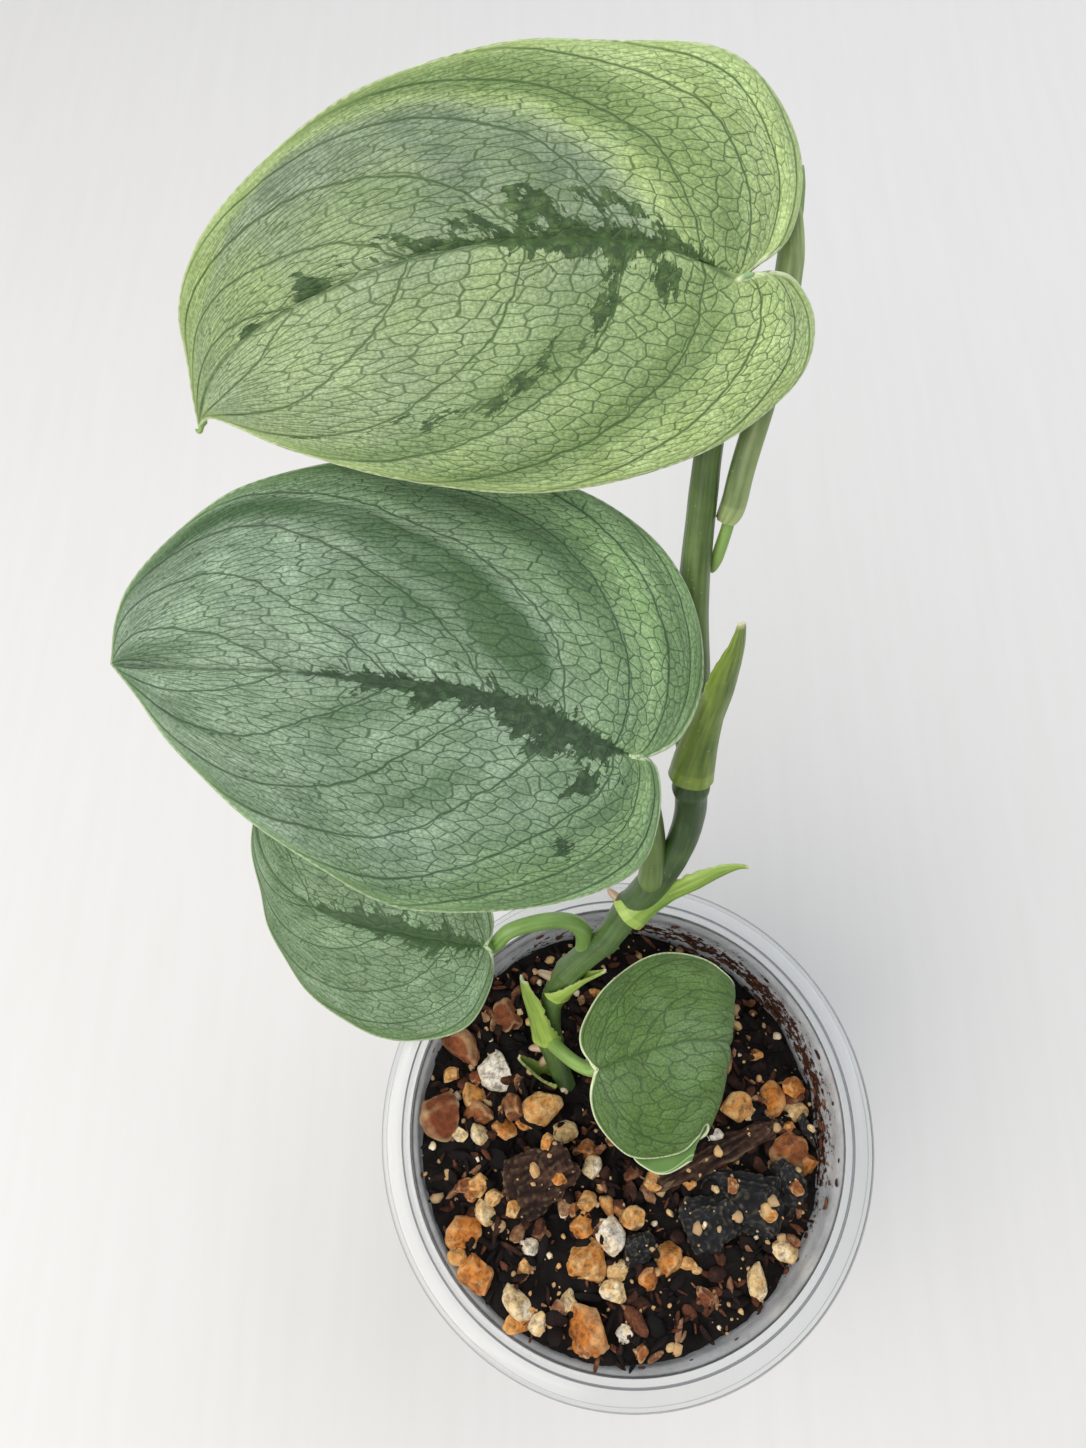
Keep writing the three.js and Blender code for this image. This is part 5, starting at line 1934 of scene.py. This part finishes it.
            put_vertices(block, shape @ np.array(turned).T + [x, y, middle])
            give_attribute(block, "tone", 0.42 + 0.4 * grain)
            block.data.materials.append(finish.material())
            smooth(block, 50)
            made.append(self.keep(block, "bark_mix"))
        return made


@dataclass
class Studio:
    """The camera, a pale matt table and soft daylight from the left."""

    camera_place: tuple[float, float, float] = (-16.33, 3.37, 292.36)
    camera_tilt: float = 20.87
    lens: float = 24.99
    table_size: float = 4000.0
    table_colour: str = "#dad9d8"

    def build(self) -> None:
        """Sets up everything round the object."""
        self.build_camera()
        self.build_table()
        self.build_lights()

    def build_camera(self) -> None:
        """Puts the camera over the plant, looking down at the cup."""
        data = bpy.data.cameras.new("view")
        data.lens = self.lens
        data.sensor_width = 36.0
        data.clip_start = 0.01
        camera = bpy.data.objects.new("view", data)
        camera.location = [c * MM for c in self.camera_place]
        camera.rotation_euler = (math.radians(self.camera_tilt), 0, 0)
        bpy.context.scene.collection.objects.link(camera)
        bpy.context.scene.camera = camera

    def build_table(self) -> None:
        """Lays the table under the cup."""
        deselect()
        bpy.ops.mesh.primitive_plane_add(size=self.table_size * MM, location=(0, 0, 0))
        table = bpy.context.object
        table.name = "table"
        # Pressed laminate: matt, off-white, with a faint brushed run in its print
        board = new_material("Laminate, matt white")
        place = add_node(board, "TexCoord").outputs["Object"]
        stretched = add_node(board, "VectorMath", [place, (220.0, 14.0, 1.0)], operation="MULTIPLY")
        grain = add_node(board, "TexNoise", {"Vector": stretched, "Scale": 1.0, "Detail": 3.0})
        colour = add_node(
            board, "Mix", {0: grain, 6: linear(self.table_colour), 7: linear("#d4d3d1")}, data_type="RGBA"
        )
        shader = add_node(board, "BsdfPrincipled", {"Base Color": colour.outputs[2], "Roughness": 0.7})
        add_node(board, "OutputMaterial", {"Surface": shader})
        table.data.materials.append(board)

    def build_lights(self) -> None:
        """Hangs a broad soft window light on the left, a weak fill on the right, and an even sky."""
        for name, place, size, power, colour in (
            ("window", (-420, -200, 680), 760, 5.5, "#fffaf4"),
            ("fill", (460, 420, 620), 900, 2.7, "#f4f8ff"),
        ):
            data = bpy.data.lights.new(name, "AREA")
            data.size = size * MM
            data.energy = power
            data.color = linear(colour)[:3]
            light = bpy.data.objects.new(name, data)
            light.location = [c * MM for c in place]
            light.rotation_euler = (Vector((0, 0, 100)) - Vector(place)).to_track_quat("-Z", "Y").to_euler()
            bpy.context.scene.collection.objects.link(light)
        world = bpy.data.worlds.new("sky")
        world.use_nodes = True
        world.node_tree.nodes["Background"].inputs["Color"].default_value = linear("#f3f5f8")
        world.node_tree.nodes["Background"].inputs["Strength"].default_value = 0.68
        bpy.context.scene.world = world
        bpy.context.scene.view_settings.view_transform = "Standard"


YELLOW_SILVER = BladeTissue(
    "Aroid leaf, young silver on yellow-green",
    silver="#72826c",
    bright="#a2b294",
    green="#acc183",
    dark_green="#9ab06c",
    shadow="#5f7a44",
    splash="#1f3b11",
    vein="#33511f",
    edge="#cfdcae",
)
BLUE_SILVER = BladeTissue(
    "Aroid leaf, blue-silver",
    silver="#768c74",
    bright="#9bb197",
    green="#84a272",
    dark_green="#6f8f5a",
    shadow="#42603a",
    splash="#142e0c",
    vein="#223f20",
    edge="#b6caa2",
    lane_depth=0.45,
)
LIGHT_SILVER = BladeTissue(
    "Aroid leaf, light silver-green",
    silver="#68825f",
    bright="#92ab87",
    green="#6d8b5a",
    dark_green="#4f6b3c",
    shadow="#415b33",
    splash="#2b4a20",
    vein="#2a471f",
    edge="#b9cca0",
    lane_depth=0.38,
)
PLAIN_GREEN = BladeTissue(
    "Aroid leaf, first mid-green",
    silver="#6c8560",
    bright="#86a078",
    green="#557335",
    dark_green="#446024",
    shadow="#415b29",
    splash="#3f5a29",
    vein="#233c13",
    edge="#dfe8bd",
    net_depth=0.7,
    below=("#6d8d50", "#57783b"),
    lane_depth=0.15,
    field_length=3.4,
)
STEM_SKIN = GreenSkin("Aroid stem, dark green", light="#6a8748", dark="#2a441d", streak=0.25)
PETIOLE_SKIN = GreenSkin("Aroid petiole, olive green", light="#728b48", dark="#344a1a", streak=0.3)
FRESH_SKIN = GreenSkin("Aroid petiole, fresh green", light="#90b060", dark="#54792f", streak=0.3)
SHOOT_SKIN = GreenSkin("Aroid shoot, pale green", light="#98a66e", dark="#4f6635", streak=0.5)
SCALE_SKIN = GreenSkin("Aroid leaf scale, yellow-green", light="#a8c25c", dark="#567a24", streak=0.5)
DARK_SCALE_SKIN = GreenSkin("Aroid leaf scale, dark green", light="#86993f", dark="#3c5616", streak=0.5)


def blades() -> list[Blade]:
    """Describes the four blades.

    Returns:
        The blades, from the top down.
    """
    no_splash = ((0, -0.2), (1, -0.2))
    plain_half = HalfBlade(splash=no_splash, silver=((0, 0.2), (0.3, 0.6), (1, 0.9)), silver_border=0.9)
    return [
        Blade(
            node="blade_top",
            notch=(6.2, 93.0, 116.8),
            towards=(-0.994, -0.105, -0.010),
            facing=(0.05, -0.566, 0.823),
            valley=0.16,
            curl=0.20,
            half_width=25,
            droop=Droop(32, 60, 40, 8),
            nod=Nod(4, 22, 30),
            midrib=(
                (0, 0), (10, -4.6), (24, -6.1), (38, -5.1), (50, -2.4), (60, 1.1), (66, 5.2), (69.2, 10.3),
            ),
            right=(
                (0, 0), (-3, -1.8), (-7, -4.6), (-9.3, -11.5), (-8, -17.5), (-3, -22.6), (4, -25.1),
                (14, -26.3), (25, -26.6), (36, -24.7), (46, -21), (56, -15.6), (64, -9.5), (69, -3),
                (69.2, 4), (69.2, 10.3),
            ),
            left=(
                (0, 0), (-5, -0.7), (-8.7, 0.3), (-10.9, 4), (-9.6, 9), (-5.8, 13.1), (1, 17.3), (10, 20.3),
                (20, 21.8), (31, 21.2), (42, 18.6), (54, 14.6), (63.5, 10.4), (67.2, 9.3), (69.2, 10.3),
            ),
            tissue=YELLOW_SILVER,
            right_marks=HalfBlade(
                silver=((0, 0.2), (0.3, 0.26), (0.7, 0.27), (0.8, 0.45), (0.86, 0.6), (1, 0.8)),
                silver_border=0.08,
                splash=(
                    (0, 0.2), (0.1, 0.05), (0.25, 0.05), (0.34, 0.07), (0.39, 0.09), (0.45, 0.04),
                    (0.51, 0.05), (0.58, 0.03), (0.63, 0.05), (0.67, 0.03), (0.7, 0.02), (0.75, 0.04),
                    (0.8, 0.03), (0.85, 0.01), (1, -0.1),
                ),
                # Painted light and shade: the lobes behind the notch (negative numbers) are painted paler, as
                # if lit through, and the dark stripes are painted shade in the valleys of the pleats
                painted_light_and_tone_bands=(
                    (-0.17, 0.09, 0.35), (-0.3, 0.1, 0.15), (0.12, 0.1, -0.62), (0.235, 0.022, 0.15),
                    (0.3, 0.02, -0.25), (0.38, 0.04, -0.2), (0.67, 0.25, -0.18),
                ),
                silver_fade=0.55,
                fingers=(
                    (0.03, 0.2, 0.26, 0.355, 1.5), (0.02, 0.41, 0.3, 0.44, 1.6),
                    (0.02, 0.49, 0.22, 0.52, 1.2), (0.02, 0.57, 0.24, 0.63, 1.4),
                    (0.02, 0.76, 0.16, 0.73, 1.2), (0.02, 0.86, 0.1, 0.83, 0.9),
                ),
            ),
            left_marks=HalfBlade(
                silver=((0, 0.05), (0.3, 0.22), (1, 0.32)),
                silver_border=0.3,
                silver_most=0.55,
                splash=(
                    (0, 0.1), (0.12, 0), (0.3, 0.03), (0.36, 0.05), (0.42, 0.1), (0.47, 0.05), (0.51, 0.03),
                    (0.55, -0.03), (0.62, -0.02), (0.7, -0.06), (0.8, -0.08), (1, -0.1),
                ),
                spots=(
                    (10.5, 0.3, 0.5), (16.5, 0.8, 0.9), (17.6, 3.4, 0.8), (24.0, -2.0, 0.5),
                    (7.5, -0.5, 0.4),
                ),
                fingers=(
                    (0.02, 0.33, 0.26, 0.36, 1.5), (0.02, 0.27, 0.26, 0.25, 1.1),
                    (0.02, 0.41, 0.14, 0.42, 1.0),
                ),
                painted_light_and_tone_bands=(
                    (0.155, 0.05, -0.4), (0.37, 0.045, -0.35), (0.24, 0.22, -0.3), (0.7, 0.2, -0.1),
                    (-0.08, 0.07, 0.2), (-0.34, 0.08, 0.25),
                ),
            ),
            streak=(
                (0.2, 0.33, -0.3), (0.3, 0.335, 0.9), (0.4, 0.34, -0.3), (0.55, 0.37, 0.3),
                (0.66, 0.4, 0.9), (0.8, 0.46, -0.4), (0.95, 0.5, -1),
            ),
        ),
        Blade(
            node="blade_middle",
            notch=(-4.8, 45.9, 83.9),
            towards=(-0.976, 0.151, 0.159),
            facing=(0.101, -0.333, 0.938),
            valley=0.14,
            curl=0.18,
            half_width=27,
            droop=Droop(38, 70, 35, 0),
            nod=Nod(4, 22, 30),
            midrib=((0, 0), (10, -2.6), (21, -3.9), (32, -3.2), (45, -2), (58, 0), (69.4, 1.4)),
            right=(
                (0, 0), (-3, -0.9), (-6.4, -4), (-8.3, -11), (-7, -18), (-3, -24.2), (3.5, -29.6),
                (12, -33.2), (24, -34), (36, -32.2), (47, -29), (57, -23.8), (64.2, -16), (68.7, -9.5),
                (70, -4), (69.4, 1.4),
            ),
            left=(
                (0, 0), (-3.6, 0.4), (-5.6, 5.5), (-4.8, 12), (-1.5, 16.2), (5, 20), (13, 22.6), (21, 24.4),
                (27.5, 24.4), (36, 21.6), (46, 17.2), (57, 10.6), (64, 5), (69.4, 1.4),
            ),
            tissue=BLUE_SILVER,
            vein_shift=0.27,
            seed=2.0,
            right_marks=HalfBlade(
                silver=((0, 0.2), (0.3, 0.22), (1, 0.22)),
                silver_border=0.35,
                splash=(
                    (0, 0.1), (0.1, 0.04), (0.2, 0.04), (0.3, 0.05), (0.42, 0.04), (0.5, 0.035),
                    (0.6, 0.03), (0.68, 0.03), (0.75, 0.01), (1, -0.1),
                ),
                # Painted light and shade across the pleats, darkest just past the large fold
                painted_light_and_tone_bands=(
                    (0.165, 0.095, -0.36), (0.245, 0.02, -0.25), (0.291, 0.013, 0.12), (0.35, 0.046, -0.95),
                    (0.42, 0.04, -0.45), (0.9, 0.08, -0.35), (-0.05, 0.02, -0.2),
                ),
                folds=((0.285, 0.035, 0.9), (0.05, 0.03, 0.35)),
            ),
            left_marks=HalfBlade(
                silver=((0, 0.08), (1, 0.08)),
                silver_border=0.25,
                splash=(
                    (0, 0.12), (0.1, 0.12), (0.2, 0.14), (0.3, 0.2), (0.38, 0.2), (0.42, 0.08), (0.5, 0.06),
                    (0.55, 0.08), (0.62, 0.04), (0.75, 0.01), (1, -0.1),
                ),
                spots=((5.1, 5.5, 1.3), (2.6, 4.8, 0.7), (7.0, 13.7, 0.1)),
                folds=((0.2, 0.05, 0.3),),
                silver_most=0.9,
                painted_light_and_tone_bands=(
                    (0.03, 0.09, -0.35), (0.34, 0.03, -0.2), (0.59, 0.02, -0.25), (0.6, 0.45, -0.2),
                    (-0.15, 0.09, -0.4),
                ),
            ),
            pleat=0.35,
            broad=0.35,
        ),
        Blade(
            node="blade_low_left",
            notch=(-25.9, 28.5, 37.2),
            towards=(-0.98, 0.191, -0.058),
            facing=(-0.1, -0.22, 0.97),
            valley=0.14,
            curl=0.22,
            half_width=16,
            droop=Droop(24, 26, 60, 18),
            nod=Nod(3, 14, 25),
            midrib=((0, 0), (12, 0.3), (26, 0), (38, -3.5), (46, -9.5), (50, -16)),
            right=(
                (0, 0), (-0.7, -3), (0.6, -7), (5, -12), (12, -16.5), (21, -19.5), (31, -21), (41, -20),
                (50, -16),
            ),
            left=(
                (0, 0), (-1.6, 1.8), (-2, 6), (0, 12.4), (4.4, 15.9), (10.2, 17.9), (16.2, 18), (23, 16.5),
                (28.5, 14), (34, 10.2), (39.5, 5), (44.5, -1.5), (48.5, -8.5), (50, -16),
            ),
            tissue=LIGHT_SILVER,
            seed=3.0,
            right_marks=HalfBlade(
                splash=((0, 0.15), (0.3, 0.12), (0.5, 0.14), (0.65, 0.05), (0.8, -0.03), (1, -0.1)),
                silver=((0, -0.4), (1, 0.5)),
                # Painted shadow of the middle blade, which hangs over this half
                painted_light_and_tone_bands=((0.1, 0.25, -0.3),),
            ),
            left_marks=HalfBlade(
                splash=((0, 0.15), (0.3, 0.08), (0.5, 0.06), (0.65, 0.02), (0.8, -0.03), (1, -0.1)),
                silver=((0, -0.4), (1, 0.5)),
            ),
            fine_veins=18.0,
            pleat=0.24,
        ),
        Blade(
            node="blade_low_right",
            slot="green_blade",
            notch=(-6.6, 9.7, 15.0),
            towards=(0.969, 0.237, -0.075),
            facing=(0.101, -0.101, 0.99),
            valley=0.06,
            curl=0.25,
            half_width=18,
            droop=Droop(22, 5, 150, -21),
            nod=Nod(2, 12, 20),
            midrib=((0, 0), (10, 0.9), (20, 0.6), (28, -3), (34, -11), (38, -24)),
            right=(
                (0, 0), (-0.8, -1.2), (-2.3, -4.6), (-2.3, -8.8), (-0.3, -12.9), (3, -16.1), (7.5, -17.7),
                (12.3, -17.6), (15.6, -15.9), (18.6, -14.6), (22, -17.6), (25.5, -23), (28.8, -28.2),
                (32.6, -29.4), (36.1, -28.6), (38, -24),
            ),
            left=(
                (0, 0), (-0.9, 1.6), (-1.9, 4.5), (-1.2, 7.5), (1.5, 10.7), (5, 13.5), (10, 15.9),
                (15, 17.1), (20, 16.7), (25, 14.5), (28.6, 10.6), (32, 6), (35, 0), (37, -7), (38.3, -15),
                (38, -24),
            ),
            tissue=PLAIN_GREEN,
            seed=4.0,
            right_marks=plain_half,
            left_marks=plain_half,
            fine_veins=14.0,
            pleat=0.22,
            broad=0.1,
        ),
    ]


def rods() -> list[Rod]:
    """Describes the stem, its root nubs, the petioles, the rolled leaf and the top blade's drip tip.

    Returns:
        The rods.
    """
    stem_route = (
        (-9.2, 3.0, -19.0, 1.7), (-11.7, 7.6, -9.0, 2.0), (-13.5, 11.7, -4.6, 2.1), (-15.0, 16.6, 0.0, 2.4),
        (-14.7, 21.3, 6.0, 1.9), (-13.2, 25.3, 13.0, 2.3), (-9.8, 28.3, 20.0, 2.5), (-5.0, 31.4, 27.0, 2.3),
        (-1.8, 35.0, 33.0, 2.7), (2.0, 38.4, 41.0, 2.8), (5.2, 42.0, 49.5, 2.4), (6.2, 45.4, 58.0, 2.4),
        (5.5, 48.0, 65.6, 2.5), (5.1, 49.4, 68.2, 2.5),
    )
    made = [
        Rod(
            name="climbing_stem",
            node="stem",
            slot="stem",
            route=stem_route,
            skin=STEM_SKIN,
            rings=(0.22, 0.34, 0.43, 0.545, 0.64, 0.965),
            shades=((0, 0.8), (0.2, 0.55), (0.35, 0.2), (0.45, 0.3), (0.6, 0.5), (0.75, 0.75), (1, 0.8)),
            steps=260,
        ),
        Rod(
            name="top_petiole",
            node="petiole_top",
            route=(
                (4.9, 50.3, 69.0, 2.45), (5.0, 53.0, 71.6, 2.4), (5.2, 60.0, 76.4, 2.3),
                (4.5, 68.6, 83.6, 2.25), (4.6, 74.6, 90.0, 2.1), (4.8, 80.0, 97.0, 1.95),
                (5.0, 85.0, 104.0, 1.8), (4.3, 91.9, 113.4, 1.5), (5.8, 93.6, 115.9, 1.1),
            ),
            skin=PETIOLE_SKIN,
            channel=0.12,
            shades=((0, 0.55), (0.5, 0.6), (1, 0.35)),
        ),
        Rod(
            name="middle_petiole",
            node="petiole_middle",
            route=(
                (1.2, 37.4, 41.6, 2.3), (1.6, 39.4, 45.5, 2.3), (1.4, 41.8, 50.0, 2.1),
                (0.3, 44.6, 58.0, 1.9), (-1.4, 46.6, 67.0, 1.7), (-3.2, 47.0, 76.0, 1.6),
                (-5.1, 46.9, 81.0, 1.5), (-5.4, 46.2, 83.2, 1.3),
            ),
            skin=PETIOLE_SKIN,
            channel=0.1,
            shades=((0, 0.25), (0.2, 0.35), (1, 0.45)),
        ),
        Rod(
            name="low_left_petiole",
            node="petiole_low_left",
            route=(
                (-9.0, 29.0, 20.0, 1.7), (-8.9, 31.4, 26.0, 1.6), (-9.9, 32.6, 31.6, 1.5),
                (-12.6, 33.1, 35.2, 1.45), (-16.8, 32.5, 37.3, 1.4), (-21.9, 31.0, 37.4, 1.35),
                (-24.7, 29.0, 34.4, 1.25), (-26.3, 28.8, 36.4, 1.1),
            ),
            skin=FRESH_SKIN,
            channel=0.1,
            shades=((0, 0.35), (0.3, 0.5), (1, 0.6)),
        ),
        Rod(
            name="low_right_petiole",
            node="petiole_low_right",
            route=(
                (-15.0, 15.8, 0.6, 1.5), (-13.1, 13.6, 5.0, 1.35), (-10.4, 11.2, 9.6, 1.3),
                (-7.6, 9.8, 11.9, 1.25), (-6.1, 9.8, 14.2, 1.05),
            ),
            skin=FRESH_SKIN,
            shades=((0, 0.1), (1, 0.2)),
            steps=60,
        ),
        Rod(
            name="rolled_young_leaf",
            node="rolled_leaf",
            slot="young_shoot",
            route=(
                (7.0, 72.5, 85.0, 0.9), (7.6, 73.9, 88.0, 0.9), (8.3, 75.8, 91.2, 0.85),
                (8.8, 77.8, 94.6, 0.7), (9.4, 80.5, 98.5, 0.7), (11.5, 87.0, 105.0, 0.7),
                (12.8, 92.4, 108.9, 0.75), (13.7, 99.2, 113.1, 0.8), (14.4, 104.8, 116.2, 0.75),
                (14.7, 108.5, 119.0, 0.4),
            ),
            skin=FRESH_SKIN,
            shades=((0, 0.2), (0.5, 0.3), (1, 0.5)),
        ),
        Rod(
            name="drip_tip",
            node="blade_top",
            slot="silver_blade",
            route=(
                (-59.3, 85.2, 101.6, 0.5), (-59.8, 84.6, 101.2, 0.35), (-60.1, 83.9, 100.8, 0.26),
                (-60.7, 84.2, 100.9, 0.2),
            ),
            skin=FRESH_SKIN,
        ),
    ]
    # Root nubs, each from its foot in the stem to its tip
    nubs = (
        ((-15.1, 14.5, -2.0), (-19.2, 14.4, -3.4)),
        ((-14.6, 13.4, -3.4), (-17.6, 10.8, -6.6)),
        ((-14.0, 26.0, 14.0), (-17.4, 27.2, 14.6)),
        ((-2.1, 36.0, 34.0), (-5.2, 38.6, 35.0)),
    )
    nub_skin = GreenSkin("Aroid root tip, pale", light="#cdb69a", dark="#8a5f45", streak=0.3)
    for index, (foot, tip) in enumerate(nubs):
        middle = [(a + b) / 2 for a, b in zip(foot, tip)]
        route = ((*foot, 1.0), (*middle, 0.85), (*tip, 0.45))
        name = f"root_nub_{index + 1}"
        made.append(Rod(name=name, slot="stem", route=route, skin=nub_skin, steps=20, sides=14))
    return made


def scales() -> list[Scale]:
    """Describes the leaf scales and the sheath of the newest shoot.

    Returns:
        The scales.
    """
    return [
        Scale(
            name="shoot_sheath_skin",
            node="shoot_sheath",
            slot="young_shoot",
            opening=(0.9, 0.3, -0.2),
            route=(
                (8.4, 76.4, 92.2, 1.2, 80), (8.8, 77.8, 94.6, 1.15, 140), (9.4, 80.5, 98.5, 1.1, 150),
                (11.5, 87.0, 105.0, 1.1, 150), (12.8, 92.4, 108.9, 1.2, 150), (13.7, 99.2, 113.1, 1.15, 140),
                (14.4, 104.8, 116.2, 1.1, 60),
            ),
            skin=SHOOT_SKIN,
            membrane=0.05,
            ragged=0.05,
        ),
        Scale(
            name="upper_scale",
            node="scale_upper",
            opening=(-0.3, 0.9, -0.2),
            route=(
                (5.3, 48.6, 67.2, 2.8, 150), (5.8, 51.8, 72.0, 2.3, 110), (6.6, 54.4, 77.0, 1.7, 100),
                (7.2, 56.0, 83.0, 1.6, 95), (7.5, 57.3, 89.0, 1.3, 85), (7.8, 58.3, 93.0, 0.8, 60),
                (7.7, 59.1, 97.0, 0.3, 40),
            ),
            skin=DARK_SCALE_SKIN,
        ),
        Scale(
            name="middle_scale",
            node="scale_middle",
            opening=(-0.4, 0.8, -0.2),
            route=(
                (-1.6, 34.8, 33.8, 3.0, 130), (1.1, 36.5, 36.2, 2.5, 100), (4.8, 38.0, 39.4, 1.8, 95),
                (8.5, 39.1, 43.4, 1.8, 90), (12.2, 40.2, 46.4, 1.4, 80), (15.0, 40.4, 48.2, 0.8, 55),
                (16.8, 39.8, 49.0, 0.3, 35),
            ),
            skin=SCALE_SKIN,
        ),
        Scale(
            name="small_right_scale",
            node="scale_small_right",
            opening=(-0.5, 0.7, 0.4),
            route=(
                (-13.6, 24.6, 12.0, 2.6, 110), (-12.2, 25.0, 15.0, 1.9, 90), (-9.3, 26.0, 18.5, 1.1, 80),
                (-5.7, 26.7, 23.0, 0.4, 40),
            ),
            skin=SCALE_SKIN,
            shade=0.1,
        ),
        Scale(
            name="small_left_scale",
            node="scale_small_left",
            opening=(0.8, 0.6, 0),
            route=(
                (-15.3, 17.0, 0.8, 2.8, 110), (-16.6, 20.6, 6.6, 2.2, 90), (-18.0, 23.6, 12.0, 1.8, 85),
                (-19.2, 26.0, 17.0, 0.9, 55),
            ),
            skin=SCALE_SKIN,
            shade=0.15,
        ),
        Scale(
            name="lowest_scale",
            node="scale_lowest",
            opening=(0.6, 0.4, 0.7),
            route=(
                (-13.4, 9.6, -5.0, 2.4, 90), (-15.9, 10.3, -4.0, 1.7, 70), (-18.5, 11.7, -2.5, 1.1, 60),
                (-20.5, 12.8, -1.0, 0.5, 40),
            ),
            skin=DARK_SCALE_SKIN,
        ),
    ]


def main() -> None:
    """Builds the cup, the bark mix and the plant in order, then the studio."""
    logging.basicConfig(level=logging.INFO, format="%(message)s")
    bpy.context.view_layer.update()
    cup = Cup()
    for part in (cup, BarkMix(cup=cup), *rods(), *blades(), *scales()):
        part.build()
        for piece in part.pieces:
            log.info("%s: %d faces", piece.name, len(piece.data.polygons))
    Studio().build()


if __name__ == "__main__":
    main()
